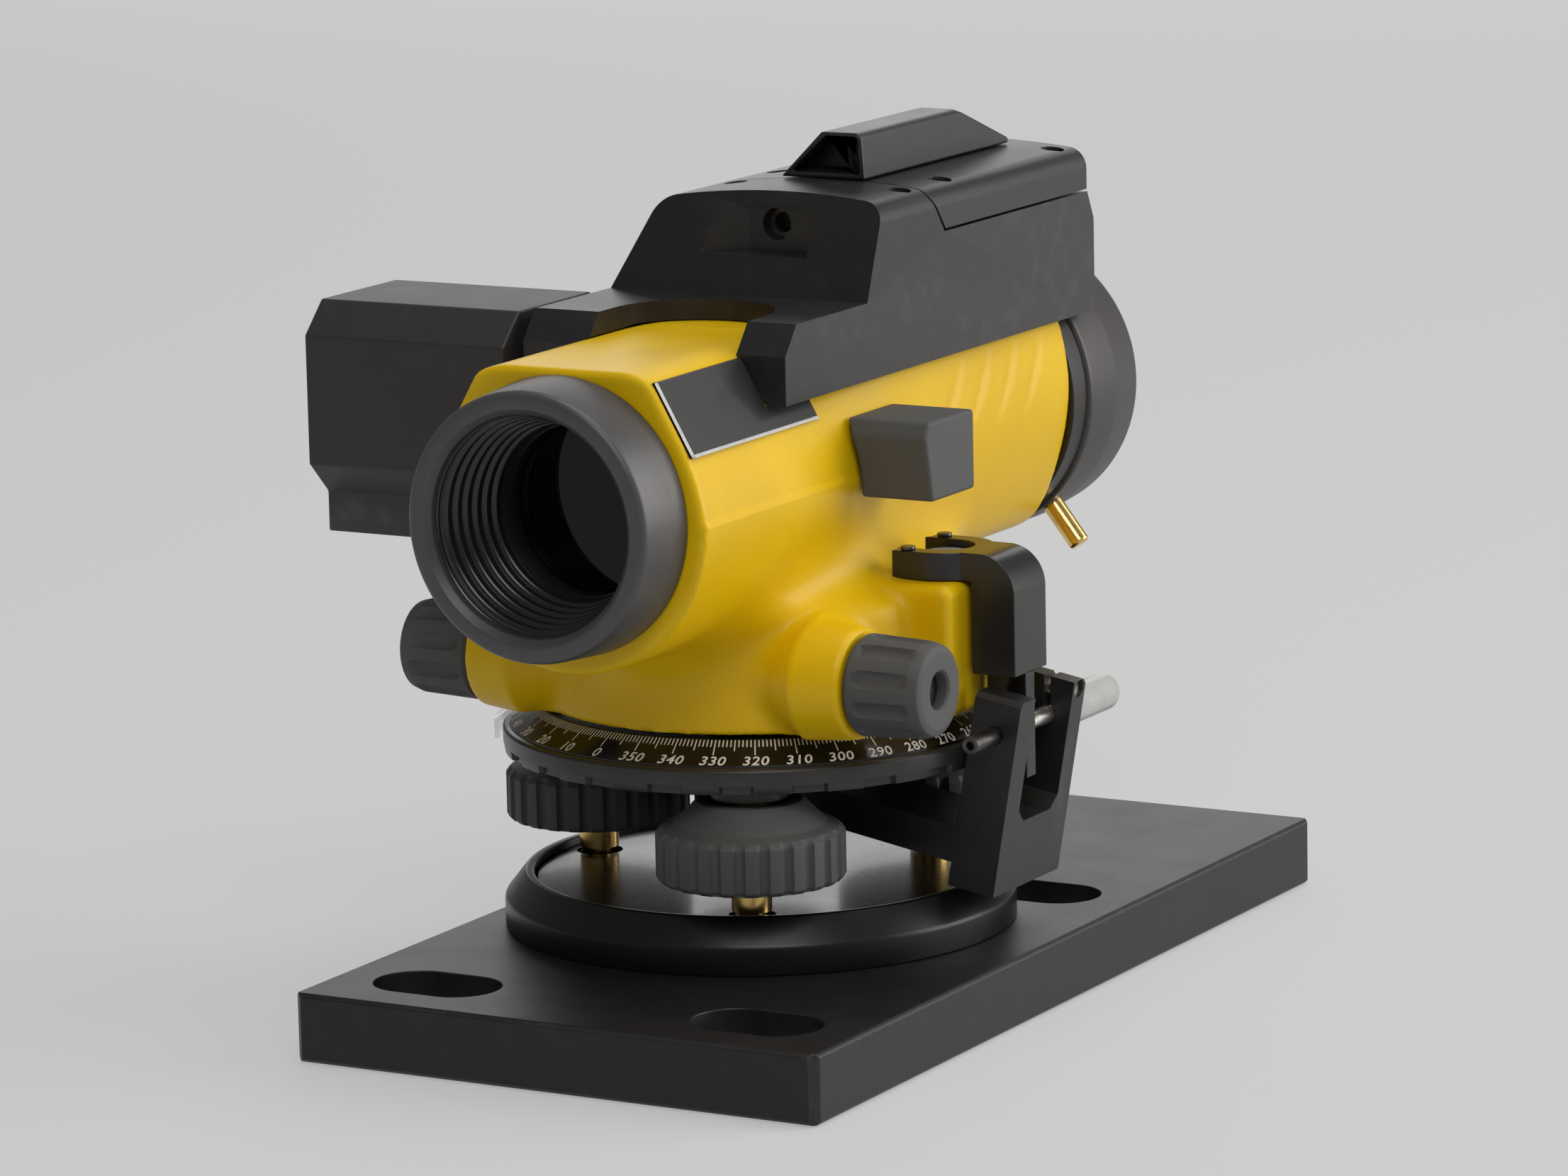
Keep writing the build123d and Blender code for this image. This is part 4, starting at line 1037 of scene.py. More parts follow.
@dataclass
class FootScrews:
    """Three ribbed foot screws under the levelling head."""

    knob_r: float = 21.6
    bottom: float = 35.6
    rib_top: float = 47.8
    top: float = 54.0
    collar_r: float = 12.2
    stem_r: float = 4.65
    ribs: int = 24
    rib_depth: float = 1.15
    circle_r: float = 45.0
    first_deg: float = -63.0

    def build(self) -> None:
        """Build the three knobs and dress their stems."""
        for index, name in enumerate("abc"):
            angle = math.radians(self.first_deg + 120.0 * index)
            centre = (self.circle_r * math.cos(angle), self.circle_r * math.sin(angle), 0.0)
            mesh = self.knob(centre)
            piece = Piece(f"foot_knob_{name}.ribbed", mesh, Finishes.KNOB, 38.0)
            piece.on(f"foot_screw_{name}", "knob_plastic", f"foot_knob_{name}")
            repaint(Finishes.BRASS, f"foot_stem_{name}")
        Machined("screw_bushes", Finishes.MACHINED, 0.3).build()

    def knob(self, centre: Point) -> bpy.types.Mesh:
        """Turn one knob.

        Args:
            centre: Foot of its axis.

        Returns:
            The knob's mesh.
        """
        profile = [
            (self.stem_r, self.bottom + 1.5, 0.2),
            (self.stem_r + 4.0, self.bottom + 1.5, 0.3),
            (self.stem_r + 5.0, self.bottom, 0.4),
            (self.knob_r - 1.0, self.bottom, 0.4),
            (self.knob_r, self.bottom + 1.0, 0.5),
            (self.knob_r, self.rib_top - 1.3, 0.6),
            (self.knob_r - 1.4, self.rib_top, 0.6),
            (self.knob_r - 4.0, self.rib_top + 0.9, 0.8),
            (self.collar_r + 1.6, self.top - 1.8, 0.8),
            (self.collar_r, self.top, 0.5),
            (self.stem_r + 5.0, self.top, 0.5),
            (self.stem_r + 4.4, self.top - 1.0, 0.3),
            (self.stem_r, self.top - 1.0, 0.2),
        ]

        def ribbed(radius: float, along: float, angle: float) -> float:
            """Radius with the grooves cut in."""
            depth = self.rib_depth * groove(angle, self.ribs, 0.42)
            return radius - min(depth, max(radius - (self.knob_r - 1.5), 0.0))

        return lathe(profile, Turning.UP, centre, self.ribs * 16, ribbed, steps=3)


# --------------------------------------------------------------------------
# Graduated circle
# --------------------------------------------------------------------------
class Tick(Enum):
    """Graduation marks by the radius that they reach."""

    DEGREE = 52.35
    FIVE = 53.4
    TEN = 54.5


@dataclass
class GraduatedCircle:
    """The horizontal circle: a notched bezel, a conical band, and its graduation."""

    bezel_r: float = 59.0
    bezel_bottom: float = 57.6
    bezel_top: float = 63.4
    bezel_inner: float = 54.8
    band_outer: tuple[float, float] = (57.4, 64.0)
    band_inner: tuple[float, float] = (49.9, 69.0)
    notch_first_deg: float = -98.0
    notch_pitch_deg: float = 360.0 / 22.0
    notch_width: float = 7.6
    notch_height: float = 2.0
    notch_depth: float = 1.3
    index_deg: float = -101.0
    numeral_r: float = 56.15
    numeral_height: float = 2.75
    capital_share: float = 0.72
    band_tilt_deg: float = 34.0
    tick_width: float = 0.26
    ink_height: float = 0.05
    segments: int = 720

    def build(self) -> None:
        """Build and dress the circle."""
        for name, mesh, finish, sharp_deg, nodes in (
            ("bezel", self.bezel(), Finishes.CIRCLE, 35.0, ("circle_bezel",)),
            ("band", self.band(), Finishes.BAND, 35.0, ("circle_band",)),
            ("graduation", self.graduation(), Finishes.INK, 30.0, ()),
            ("numerals", self.numerals(), Finishes.INK, 30.0, ()),
        ):
            Piece(f"circle.{name}", mesh, finish, sharp_deg).on("circle", "circle_black", *nodes)

    def bezel(self) -> bpy.types.Mesh:
        """Turn the bezel with its notches under the rim."""
        ledge = self.bezel_bottom + self.notch_height
        inner = self.bezel_inner
        profile = [
            (inner, self.bezel_bottom, 0.2),
            (self.bezel_r - 0.3, self.bezel_bottom, 0.25),
            (self.bezel_r, ledge - 0.05),
            (self.bezel_r, ledge + 0.05),
            (self.bezel_r, self.bezel_top - 0.5, 0.4),
            (self.bezel_r - 0.5, self.bezel_top, 0.3),
            (self.bezel_r - 1.4, self.bezel_top + 0.25, 0.2),
            (inner, self.bezel_top - 0.6),
        ]
        half = self.notch_width / 2 / self.bezel_r

        def notched(radius: float, along: float, angle: float) -> float:
            """Radius with the notches cut in below the ledge."""
            turn = math.degrees(angle) - self.notch_first_deg
            offset = (turn / self.notch_pitch_deg) % 1.0
            off_rad = math.radians(min(offset, 1 - offset) * self.notch_pitch_deg)
            inside = off_rad < half and along < ledge and radius > self.bezel_r - 1
            return self.bezel_r - self.notch_depth if inside else radius

        return lathe(profile, Turning.UP, (0.0, 0.0, 0.0), self.segments, notched, steps=2)

    def band(self) -> bpy.types.Mesh:
        """Turn the conical band."""
        profile = [
            (*self.band_outer, 0.15),
            (*self.band_inner, 0.3),
            (self.band_inner[0], self.band_inner[1] - 3.0),
            (self.band_outer[0], self.band_outer[1] - 2.0),
        ]
        return lathe(profile, Turning.UP, (0.0, 0.0, 0.0), self.segments // 2)

    def on_band(self, radius: float, angle: float, lift: float) -> Point:
        """A point on the band's face.

        Args:
            radius: Distance from the axis.
            angle: Angle round the axis.
            lift: Height over the face.

        Returns:
            The point.
        """
        (r0, z0), (r1, z1) = self.band_inner, self.band_outer
        slope = (z1 - z0) / (r1 - r0)
        height = z0 + (radius - r0) * slope
        tilt = math.atan(slope)
        r = radius - lift * math.sin(tilt)
        return (r * math.cos(angle), r * math.sin(angle), height + lift * math.cos(tilt))

    def graduation(self) -> bpy.types.Mesh:
        """Lay out the 360 marks as thin raised strips."""
        points: list[Point] = []
        faces: list[tuple[int, ...]] = []
        start = self.band_inner[0] + 0.7
        for degree in range(360):
            reach = Tick.TEN if degree % 10 == 0 else Tick.FIVE if degree % 5 == 0 else Tick.DEGREE
            centre = math.radians(self.index_deg - degree)
            base = len(points)
            for lift in (-self.ink_height, self.ink_height):
                for radius in (start, reach.value):
                    for side in (-0.5, 0.5):
                        angle = centre + side * self.tick_width / radius
                        points.append(self.on_band(radius, angle, lift))
            for face in ((0, 1, 3, 2), (4, 6, 7, 5), (0, 4, 5, 1), (2, 3, 7, 6), (0, 2, 6, 4), (1, 5, 7, 3)):
                faces.append(tuple(base + i for i in face))
        return outward(mesh_from(np.array(points), faces))

    def numerals(self) -> bpy.types.Mesh:
        """Wrap a number for each ten degrees onto the band."""
        joined = bmesh.new()
        for value in range(0, 360, 10):
            curve = bpy.data.curves.new(f"numeral_{value}", "FONT")
            curve.body = str(value)
            curve.size = self.numeral_height / self.capital_share
            curve.shear = 0.18
            curve.offset = 0.05
            curve.space_character = 1.08
            curve.align_x, curve.align_y = "CENTER", "CENTER"
            curve.extrude = self.ink_height
            curve.resolution_u = 3
            holder = bpy.data.objects.new("numeral", curve)
            flat = bpy.data.meshes.new_from_object(holder)
            centre = math.radians(self.index_deg - value)
            for vertex in flat.vertices:
                u, v, lift = vertex.co
                radius = self.numeral_r - v * math.cos(math.radians(self.band_tilt_deg))
                spot = self.on_band(radius, centre + u / self.numeral_r, lift)
                vertex.co = Vector(spot) * MM
            joined.from_mesh(flat)
            bpy.data.objects.remove(holder)
            bpy.data.curves.remove(curve)
            bpy.data.meshes.remove(flat)
        mesh = bpy.data.meshes.new("numerals")
        joined.to_mesh(mesh)
        joined.free()
        return outward(mesh)


# --------------------------------------------------------------------------
# Yellow housing
# --------------------------------------------------------------------------
@dataclass
class Housing:
    """The cast and painted body: telescope tube, skirt, vial ledge and bosses."""

    axis_z: float = 124.7
    front: float = -83.5
    rear: float = 96.0
    tube_r: float = 35.8
    flat_top: float = 157.4
    bevel_reach: float = 36.8
    shoulder_reach: float = 34.5
    morph_start: float = -27.0
    morph_end: float = 12.0
    rear_top: float = 157.7
    upper_side: float = 34.4
    lower_side: float = 33.7
    wall_r: float = 50.45
    wall_top_r: float = 48.9
    skirt_bottom: float = 69.4
    shelf_z: float = 96.2
    shelf_rise: float = 0.42
    tube_blend: float = 15.0
    end_round: float = 1.4
    bevel: tuple[float, float] = (0.375, 0.927)
    shoulder: tuple[float, float] = (0.869, 0.495)
    front_blends: Point = (1.2, 1.2, 7.0)
    upper_plane: tuple[float, float] = (0.994, 0.111)
    lower_plane: tuple[float, float] = (0.954, -0.305)
    ring_ease: float = 1.6
    rear_blends: Point = (4.0, 5.0, 9.0)
    ledge_low: Point = (28.0, -13.0, 69.4)
    ledge_high: Point = (57.6, 21.0, 100.2)
    boss_y: float = -37.0
    boss_z: float = 82.0
    boss_end: float = 48.6
    boss_r: float = 12.6
    boss_taper: float = 0.13
    boss_root: float = 37.0
    boss_fade: float = 0.72
    boss_inner: float = 12.0
    boss_blend: float = 5.0
    ledge_round: float = 2.6
    ledge_blend: float = 3.0
    bore_r: float = 24.0
    floor_bore_r: float = 46.6
    floor_bore_top: float = 72.1
    spindle_bore_r: float = 11.3
    spindle_bore_top: float = 79.0
    shaft_bore_r: float = 4.5
    focus_y: float = 22.0
    focus_bore_r: float = 3.2
    flutes: int = 4
    flute_first: float = 44.5
    flute_pitch: float = 13.2
    flute_top_z: float = 147.0
    flute_end_z: float = 130.0
    flute_r: float = 2.2
    flute_sunk: float = 1.7
    flute_blend: float = 0.9
    cell: float = 1.0

    def build(self) -> None:
        """Build the housing and the pieces let into it."""
        cell = self.cell * (1.6 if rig.quick() else 1.0)
        solid = self.solid()
        low = (-self.wall_r - 3.0, self.front - 3.0, self.skirt_bottom - 3.0)
        high = (self.ledge_high[0] + 3.0, self.rear + 3.0, self.rear_top + 3.0)
        mesh = solid.mesh(low, high, cell)
        Piece("housing.cast", mesh, Finishes.YELLOW, 75.0).on("level", "yellow_paint", "housing")
        repaint(Finishes.CAST, "housing_floor")
        repaint(Finishes.WINDOW, "index_window")

    def tube(self) -> Field:
        """The telescope tube, flat-topped in front and slab-sided behind."""
        radius, axis_z = self.tube_r, self.axis_z
        bevel, shoulder = Vector(self.bevel).normalized(), Vector(self.shoulder).normalized()
        (high_x, high_z), (low_x, low_z) = self.upper_plane, self.lower_plane

        def distance(x: np.ndarray, y: np.ndarray, z: np.ndarray) -> np.ndarray:
            """Distance of the tube."""
            side, up = np.abs(x), z - axis_z
            ring = np.sqrt(side * side + up * up) - radius
            planes = [
                z - self.flat_top,
                bevel.x * side + bevel.y * up - self.bevel_reach,
                shoulder.x * side + shoulder.y * up - self.shoulder_reach,
                side - radius,
            ]
            upper = planes[0]
            for plane, blend in zip(planes[1:], self.front_blends):
                upper = rounded_max(upper, plane, blend)
            front_shape = np.where(up > 0, upper, ring)
            rear_shape = high_x * side + high_z * up - self.upper_side
            lower = low_x * side + low_z * up - self.lower_side
            for plane, blend in zip((ring - self.ring_ease, lower, -up - radius), self.rear_blends):
                rear_shape = rounded_max(rear_shape, plane, blend)
            t = np.clip((y - self.morph_start) / (self.morph_end - self.morph_start), 0, 1)
            weight = t * t * (3 - 2 * t)
            shape = front_shape * (1 - weight) + rear_shape * weight
            return np.maximum(shape, z - self.rear_top)

        return Field(distance).within(Field.slab(1, self.front, self.rear), self.end_round)

    def skirt(self) -> Field:
        """The round lower body with its sloping shelf."""
        height = self.shelf_z - self.skirt_bottom
        lean = (self.wall_r - self.wall_top_r) / height

        def wall(x: np.ndarray, y: np.ndarray, z: np.ndarray) -> np.ndarray:
            """Distance of the upright wall."""
            return np.sqrt(x * x + y * y) - (self.wall_r - (z - self.skirt_bottom) * lean)

        def shelf(x: np.ndarray, y: np.ndarray, z: np.ndarray) -> np.ndarray:
            """Distance below the shelf."""
            r = np.sqrt(x * x + y * y)
            rise = self.shelf_z + (self.wall_top_r - r) * self.shelf_rise
            return (z - rise) / math.hypot(1, self.shelf_rise)

        body = Field(wall).within(Field(shelf), 3.6)
        return body.within(Field(lambda x, y, z: self.skirt_bottom - z), 0.8)

    def boss(self, side: float) -> Field:
        """A conical boss round the tangent shaft.

        Args:
            side: 1 for the right, -1 for the left.

        Returns:
            The boss.
        """

        def cone(x: np.ndarray, y: np.ndarray, z: np.ndarray) -> np.ndarray:
            """Distance of the cone."""
            along = x * side
            r = np.sqrt((y - self.boss_y) ** 2 + (z - self.boss_z) ** 2)
            flare = self.boss_r + (self.boss_end - along) * self.boss_taper
            flare = flare - np.maximum(self.boss_root - along, 0.0) * self.boss_fade
            return (r - flare) / math.hypot(1, self.boss_taper)

        ends = Field(lambda x, y, z: np.maximum(x * side - self.boss_end, self.boss_inner - x * side))
        return Field(cone).within(ends, 0.9)

    def solid(self) -> Field:
        """The whole casting."""
        floor_cut = Field(lambda x, y, z: self.skirt_bottom - z)
        body = self.tube().join(self.skirt(), self.tube_blend)
        body = body.within(floor_cut, 0.6)
        ledge = Field.block(self.ledge_low, self.ledge_high, self.ledge_round)
        body = body.join(ledge, self.ledge_blend)
        for side in (1.0, -1.0):
            body = body.join(self.boss(side), self.boss_blend)
        body = body.within(floor_cut, 0.5)
        for number in range(self.flutes):
            body = body.cut(self.flute(number), self.flute_blend)
        origin, below = (0.0, 0.0, 0.0), self.skirt_bottom - 5
        for bore in (
            Field.rod(1, (0.0, 0.0, self.axis_z), self.bore_r, self.front - 5, self.rear + 5),
            Field.rod(2, origin, self.floor_bore_r, below, self.floor_bore_top),
            Field.rod(2, origin, self.spindle_bore_r, below, self.spindle_bore_top),
            Field.rod(0, (0.0, self.boss_y, self.boss_z), self.shaft_bore_r, -60.0, 60.0),
            Field.rod(0, (0.0, self.focus_y, self.axis_z), self.focus_bore_r, -60.0, -20.0),
        ):
            body = body.cut(bore)
        return body

    def flute(self, number: int) -> Field:
        """One of the slanting grip flutes on the rear of the tube.

        Args:
            number: Its place, from the front.

        Returns:
            The flute.
        """
        y0 = self.flute_first + number * self.flute_pitch
        top = Vector((0.0, y0 + 3.0, self.flute_top_z))
        end = Vector((0.0, y0 - 11.0, self.flute_end_z - number))
        run = end - top

        def distance(x: np.ndarray, y: np.ndarray, z: np.ndarray) -> np.ndarray:
            """Distance of the flute."""
            t = np.clip(((y - top.y) * run.y + (z - top.z) * run.z) / run.length_squared, 0, 1)
            off_y = y - (top.y + t * run.y)
            off_z = z - (top.z + t * run.z)
            depth = np.abs(x) - self.upper_side - self.flute_sunk + 0.11 * (z - self.axis_z)
            return np.sqrt(off_y**2 + off_z**2 + depth**2) - self.flute_r

        return Field(distance)


# --------------------------------------------------------------------------
# Objective, rear end and drives
# --------------------------------------------------------------------------
@dataclass
class Objective:
    """The ribbed hood, the lens cell and the coated lens."""

    axis: Point = (0.0, 0.0, 124.7)
    front: float = -100.6
    seam: float = -83.6
    front_r: float = 30.3
    rear_r: float = 31.6
    mouth_r: float = 24.9
    throat_r: float = 19.7
    throat: float = -77.0
    ridges: int = 7
    collar_r: float = 23.8
    collar_rear: float = -75.6

    def build(self) -> None:
        """Build the hood and dress the optics."""
        mesh = lathe(self.profile(), Turning.BACK, self.axis, 256, steps=5)
        piece = Piece("objective.hood", mesh, Finishes.HOOD, 40.0)
        piece.second_finish(Finishes.BAFFLE, self.is_inside)
        piece.on("level", "hood_black", "objective_hood")
        repaint(Finishes.BAFFLE, "lens_cell")
        # The objective lens takes the near-black coated finish, whose colour is painted shade for the dark tube behind
        # it.
        repaint(Finishes.LENS, "objective_lens")

    def is_inside(self, centre: Vector, normal: Vector) -> bool:
        """Whether a face of the hood is behind its mouth."""
        radius = math.hypot(centre.x, centre.z - self.axis[2])
        return radius < self.mouth_r - 0.05

    def profile(self) -> list:
        """The hood's section, with a stepped ridge for each stop."""
        inside = []
        first = self.front + 3.4
        pitch = (self.throat - first) / self.ridges
        for ridge in range(self.ridges):
            share = ridge / self.ridges
            crest = self.mouth_r - 0.5 - (self.mouth_r - self.throat_r) * share
            y = first + pitch * ridge
            inside += [
                (crest + 0.35, y, 0.2),
                (crest, y + 0.3, 0.25),
                (crest, y + 0.9, 0.3),
                (crest + 0.75, y + 1.5, 0.3),
                (crest + 0.3, y + pitch - 0.25, 0.2),
            ]
        outer = [
            (self.throat_r, self.throat + 0.4),
            (self.throat_r, self.collar_rear),
            (self.collar_r, self.collar_rear, 0.3),
            (self.collar_r, self.seam),
            (self.rear_r, self.seam, 0.8),
            (self.front_r, self.front, 2.6),
            (self.mouth_r + 1.6, self.front, 1.2),
            (self.mouth_r, self.front + 1.8, 1.0),
            (self.mouth_r, self.front + 3.1, 0.2),
        ]
        return inside + outer


@dataclass
class RearEnd:
    """The adapter cup, its ring, the eyepiece and the clamping screw."""

    axis: Point = (0.0, 0.0, 124.7)
    front: float = 103.0
    front_r: float = 35.6
    shoulder: float = 117.0
    rear: float = 132.0
    rear_r: float = 34.3
    rim: float = 7.0
    bore_r: float = 11.1

    def build(self) -> None:
        """Build the adapter and dress the eyepiece."""
        profile = [
            (self.bore_r, self.front, 0.3),
            (self.front_r, self.front, 1.6),
            (self.front_r, self.shoulder, 5.0),
            (self.rear_r, self.rear, 3.0),
            (self.rear_r - self.rim, self.rear, 1.4),
            (self.rear_r - self.rim, self.shoulder, 1.0),
            (self.bore_r, self.shoulder, 0.4),
        ]
        mesh = lathe(profile, Turning.BACK, self.axis, 192, steps=8)
        Piece("rear.adapter", mesh, Finishes.ADAPTER, 40.0).on("level", "cast_black", "rear_adapter")
        machine(
            ("rear_ring", Finishes.MACHINED, 0.3),
            ("thumb_screw", Finishes.BRASS, 0.3),
            ("eyepiece_ring", Finishes.KNOB, 0.25),
            ("eyepiece_tube", Finishes.MACHINED, 0.25),
        )
        repaint(Finishes.GLASS, "eye_lens", "reticle")


@dataclass
class Drives:
    """The tangent knobs, the focusing knob and the parts they move."""

    y: float = -37.0
    z: float = 82.0
    inner_x: float = 49.0
    outer_x: float = 68.0
    knob_r: float = 11.6
    end_r: float = 10.5
    bore_r: float = 4.3
    grooves: int = 10
    groove_depth: float = 1.25
    groove_stop: float = 2.6

    def build(self) -> None:
        """Build the knobs and dress their shafts."""
        for side, name in ((1.0, "right"), (-1.0, "left")):
            piece = Piece(f"tangent_knob_{name}.grooved", self.knob(side), Finishes.KNOB, 38.0)
            piece.on("tangent", "knob_plastic", f"tangent_knob_{name}")
        Machined("focus_knob", Finishes.KNOB, 0.3).build()
        repaint(Finishes.OXIDE, "tangent_shaft", "focus_shaft")
        repaint(Finishes.BAFFLE, "focus_carriage", "compensator_frame")
        repaint(Finishes.GLASS, "focus_lens", "compensator_prism")

    def knob(self, side: float) -> bpy.types.Mesh:
        """Turn one tangent knob.

        Args:
            side: 1 for the right, -1 for the left.

        Returns:
            The knob's mesh.
        """
        tip = self.outer_x
        profile = [
            (self.bore_r, self.inner_x * side),
            (self.knob_r - 0.9, self.inner_x * side, 0.4),
            (self.knob_r, (self.inner_x + 1.2) * side, 0.6),
            (self.knob_r - 0.6, (tip - 3.0) * side, 1.4),
            (self.end_r - 0.3, (tip - 0.5) * side, 0.8),
            (self.end_r - 1.8, tip * side, 0.5),
            (self.bore_r + 0.5, tip * side, 0.3),
            (self.bore_r, (tip - 0.6) * side, 0.2),
        ]
        profile = dense(profile, 2, 14)

        def grooved(radius: float, along: float, angle: float) -> float:
            """Radius with the round-ended grooves cut in."""
            if radius < self.end_r - 2.2:
                return radius
            start = min(max((abs(along) - self.inner_x - 2.6) / 1.8, 0.0), 1.0)
            width = 0.52 * math.sqrt(max(1 - (1 - start) ** 2, 1e-6))
            stop = min(max((self.outer_x - self.groove_stop - abs(along)) / 2.2, 0.0), 1.0)
            depth = self.groove_depth * groove(angle, self.grooves, width)
            return radius - depth * min(start * 3, 1.0) * stop

        return lathe(profile, Turning.RIGHT, (0.0, self.y, self.z), self.grooves * 24, grooved, steps=4)


# --------------------------------------------------------------------------
# Saddle, side box and label
# --------------------------------------------------------------------------
@dataclass
class Saddle:
    """The machined saddle on the telescope, its lid, sight and pointer."""

    edge: float = 0.45

    def build(self) -> None:
        """Build and dress the saddle group."""
        machine(
            ("saddle", Finishes.MACHINED, self.edge, 3),
            ("saddle_lid", Finishes.SATIN, 1.0, 4),
            ("sight_tunnel", Finishes.SATIN, 0.6, 3),
            ("lid_screws", Finishes.OXIDE, 0.12),
        )
        repaint(Finishes.BAFFLE, "laser_tube")
        repaint(Finishes.LENS, "sight_lens")


@dataclass
class SideBox:
    """The side optics box and its bracket."""

    edge: float = 0.5

    def build(self) -> None:
        """Build and dress the box."""
        machine(
            ("side_box", Finishes.BLASTED, self.edge, 3),
            ("side_bracket", Finishes.MACHINED, 0.3),
        )


@dataclass
class Label:
    """The blank black label on the shoulder, with its silver border."""

    normal: Point = (0.869, 0.0, 0.495)
    reach: float = 34.5
    thickness: float = 0.5
    front: float = -82.0
    rear: float = -25.0
    rear_top: float = -43.9
    top_z: float = 155.4
    bottom_z: float = 139.3
    step_z: float = 144.6
    border: float = 1.3
    strip_foot: float = 0.1
    strip_proud: float = 0.05
    axis_z: float = 124.7

    def build(self) -> None:
        """Build the label and its border."""
        face = self.plate(0.0, self.thickness)
        Piece("label.face", face, Finishes.LABEL).on("level", "label_black", "label_plate")
        strips = self.border_strips()
        Piece("label.border", strips, Finishes.SILVER).on("level", "label_black")

    def spot(self, y: float, z: float, lift: float) -> Point:
        """A point on the shoulder plane.

        Args:
            y: Place along the telescope.
            z: Height.
            lift: Height over the paint.

        Returns:
            The point.
        """
        n = Vector(self.normal).normalized()
        x = (self.reach + lift - n.z * (z - self.axis_z)) / n.x
        return (x, y, z)

    def plate(self, low: float, high: float) -> bpy.types.Mesh:
        """The label's stepped outline with a thickness."""
        outline = [
            (self.front, self.bottom_z),
            (self.rear, self.bottom_z),
            (self.rear, self.step_z),
            (self.rear_top, self.step_z),
            (self.rear_top, self.top_z),
            (self.front, self.top_z),
        ]
        return self.raised(outline, low, high)

    def raised(self, outline: Sequence[tuple[float, float]], low: float, high: float) -> bpy.types.Mesh:
        """A solid on the shoulder plane.

        Args:
            outline: Its corners as (y, z).
            low: Height of its foot over the paint.
            high: Height of its face over the paint.

        Returns:
            The solid's mesh.
        """
        foot, face = ([self.spot(y, z, lift) for y, z in outline] for lift in (low, high))
        return prism(foot, face)

    def border_strips(self) -> bpy.types.Mesh:
        """Thin silver lines along the front and bottom of the label."""
        b, high = self.border, self.thickness + self.strip_proud
        rects = [
            (self.front, self.bottom_z, self.front + b, self.top_z),
            (self.front, self.bottom_z, self.rear, self.bottom_z + b * 0.5),
        ]
        joined = bmesh.new()
        for y0, z0, y1, z1 in rects:
            outline = [(y0, z0), (y1, z0), (y1, z1), (y0, z1)]
            joined.from_mesh(self.raised(outline, self.strip_foot, high))
        mesh = bpy.data.meshes.new("strips")
        joined.to_mesh(mesh)
        joined.free()
        return mesh


def prism(bottom: Sequence[Point], top: Sequence[Point]) -> bpy.types.Mesh:
    """A solid between two outlines with the same number of corners."""
    count = len(bottom)
    faces = [tuple(range(count)), tuple(range(count, 2 * count))]
    faces += [(i, (i + 1) % count, count + (i + 1) % count, count + i) for i in range(count)]
    return outward(mesh_from(np.array(list(bottom) + list(top)), faces))


# --------------------------------------------------------------------------
# Vial, mirror and fine adjuster
# --------------------------------------------------------------------------
@dataclass
class Fittings:
    """The vial with its mirror, the fork arm and the adjuster bracket."""

    def build(self) -> None:
        """Build and dress the fittings."""
        machine(
            ("mirror_housing", Finishes.KNOB, 1.6, 4, 3.0),
            ("vial_ring", Finishes.MACHINED, 0.2),
        )
        repaint(Finishes.GLASS, "circular_vial")
        machine(
            ("fork_arm", Finishes.GLOSS, 0.7, 3),
            ("arm_screws", Finishes.OXIDE, 0.12),
            ("adjuster_post", Finishes.MACHINED, 0.4, 3),
            ("pinch_screw", Finishes.STEEL, 0.15),
            ("set_screw", Finishes.OXIDE, 0.15),
            ("plunger_cap", Finishes.NYLON, 0.2),
        )
        repaint(Finishes.STEEL, "plunger_pin")
        Machined("level_head", Finishes.MACHINED, 0.3).build()
        repaint(Finishes.STEEL, "spindle")


# --------------------------------------------------------------------------
# Studio
# --------------------------------------------------------------------------
@dataclass
class Softbox:
    """One large soft light."""

    name: str
    place: Point
    size: float
    power: float
    colour: Colour = (1.0, 1.0, 1.0)

    def build(self, target: Vector) -> None:
        """Hang the light and aim it.

        Args:
            target: Point that it faces.
        """
        light = bpy.data.lights.new(self.name, "AREA")
        light.shape, light.size = "SQUARE", self.size
        light.energy, light.color = self.power, self.colour
        holder = bpy.data.objects.new(self.name, light)
        holder.location = self.place
        holder.rotation_euler = (target - Vector(self.place)).to_track_quat("-Z", "Y").to_euler()
        bpy.context.scene.collection.objects.link(holder)


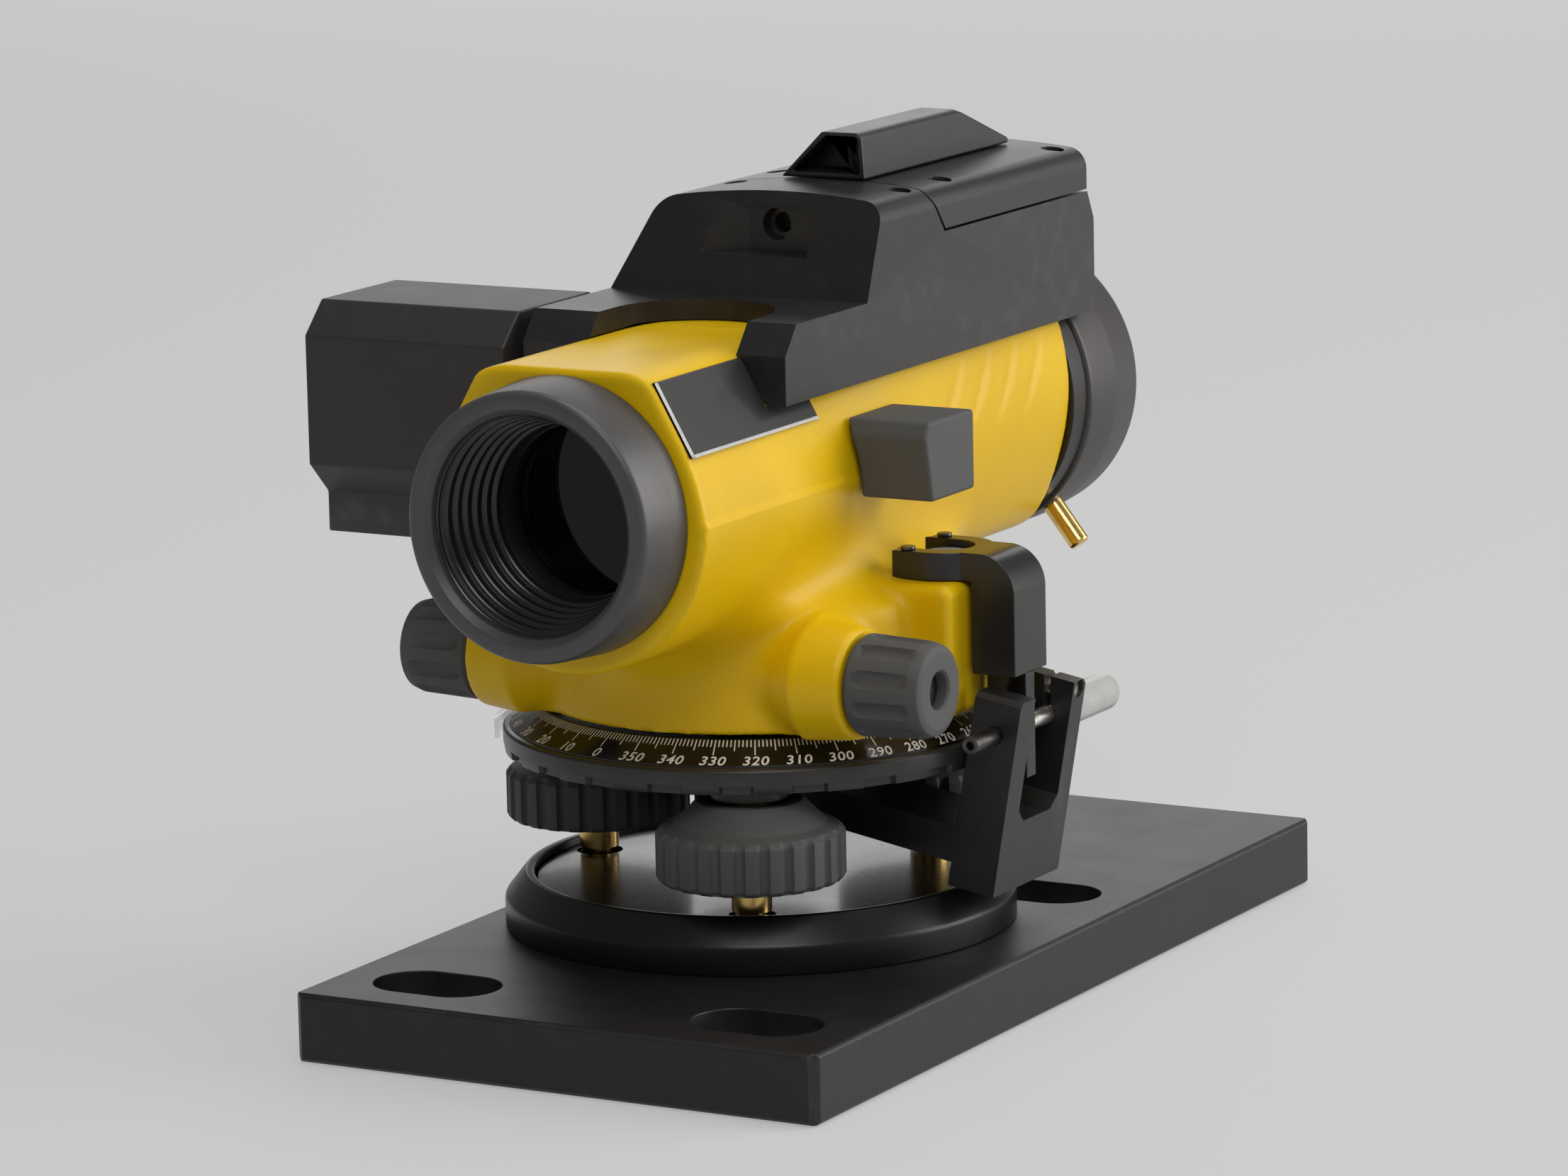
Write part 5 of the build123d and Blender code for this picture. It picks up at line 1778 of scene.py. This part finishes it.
@dataclass
class Studio:
    """The camera, the pale floor and the soft lights."""

    camera_place: Point = (0.78426, -1.37613, 0.39849)
    azimuth_deg: float = 29.43
    elevation_deg: float = 10.90
    roll_deg: float = -1.24
    focal_mm: float = 160.16
    sensor_mm: float = 36.0
    floor_r: float = 9.0
    floor_colour: Colour = (0.24, 0.24, 0.24)
    floor_glow: float = 0.378
    world_strength: float = 0.24
    lights: Sequence[Softbox] = field(
        default_factory=lambda: (
            Softbox("back_right", (2.2, 1.5, 0.9), 2.0, 58.0, (1.0, 0.97, 0.94)),
            Softbox("back", (-1.1, 2.3, 0.9), 1.8, 12.0),
            Softbox("front_top", (0.9, -1.3, 1.7), 1.1, 16.0),
            Softbox("top", (0.2, 0.3, 1.9), 1.2, 12.0),
        )
    )

    def build(self) -> None:
        """Set up everything round the instrument."""
        self.camera()
        self.floor()
        self.world()
        for light in self.lights:
            light.build(Vector((0.0, 0.0, 0.1)))
        settings = bpy.context.scene.view_settings
        settings.view_transform = "Standard"
        settings.look = "None"

    def camera(self) -> None:
        """Place the camera by its azimuth, elevation and roll."""
        a, e, roll = (math.radians(v) for v in (self.azimuth_deg, self.elevation_deg, self.roll_deg))
        right = Vector((math.cos(a), math.sin(a), 0.0))
        back = Vector((math.sin(a) * math.cos(e), -math.cos(a) * math.cos(e), math.sin(e)))
        up = back.cross(right)
        across = right * math.cos(roll) + up * math.sin(roll)
        upward = up * math.cos(roll) - right * math.sin(roll)
        data = bpy.data.cameras.new("camera")
        data.lens, data.sensor_width = self.focal_mm, self.sensor_mm
        data.clip_end = 60.0
        holder = bpy.data.objects.new("camera", data)
        turn = Matrix((across, upward, back)).transposed().to_4x4()
        holder.matrix_world = Matrix.Translation(self.camera_place) @ turn
        bpy.context.scene.collection.objects.link(holder)
        bpy.context.scene.camera = holder

    def floor(self) -> None:
        """Lay the floor as a disc with a matt finish."""
        work = bmesh.new()
        bmesh.ops.create_circle(work, cap_ends=True, segments=96, radius=self.floor_r)
        mesh = bpy.data.meshes.new("floor")
        work.to_mesh(mesh)
        work.free()
        holder = bpy.data.objects.new("floor", mesh)
        holder.location.z = -0.0004
        graph = Graph("floor_paper")
        graph.feed("Base Color", self.floor_colour)
        graph.feed("Roughness", 0.95)
        graph.feed("Specular IOR Level", 0.1)
        graph.feed("Emission Color", (1.0, 1.0, 1.0))
        graph.feed("Emission Strength", self.floor_glow)
        mesh.materials.append(graph.material)
        bpy.context.scene.collection.objects.link(holder)
        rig.stage(holder)

    def world(self) -> None:
        """Light the scene with an even pale surround."""
        world = bpy.data.worlds.new("surround")
        world.use_nodes = True
        background = world.node_tree.nodes["Background"]
        background.inputs["Color"].default_value = (0.80, 0.80, 0.80, 1.0)
        background.inputs["Strength"].default_value = self.world_strength
        bpy.context.scene.world = world


def write_sizes(cad: Sequence[Sequence[float]]) -> None:
    """Write the CAD box and the visual model's box.

    Args:
        cad: The box of the CAD model.
    """
    boxes = {"cad": as_lists(cad), "visual": as_lists(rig.bounds())}
    with open("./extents.json", "w") as out:
        json.dump(boxes, out)


def as_lists(box: Iterable[Iterable[float]]) -> list[list[float]]:
    """A box's corners as plain lists."""
    return [[float(v) for v in corner] for corner in box]


def main() -> None:
    """Build the instrument and its studio."""
    logging.basicConfig(level=logging.INFO, format="%(name)s: %(message)s")
    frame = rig.load()
    FRAME["nodes"] = frame["nodes"]
    FRAME["slots"] = {s["node"]: s["material_slot"] for s in frame["record"]["subparts"]}
    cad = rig.bounds()
    Studio().build()
    for group in (
        Base(),
        FootScrews(),
        GraduatedCircle(),
        Housing(),
        Objective(),
        RearEnd(),
        Drives(),
        Saddle(),
        SideBox(),
        Label(),
        Fittings(),
    ):
        group.build()
    write_sizes(cad)


if __name__ == "__main__":
    main()
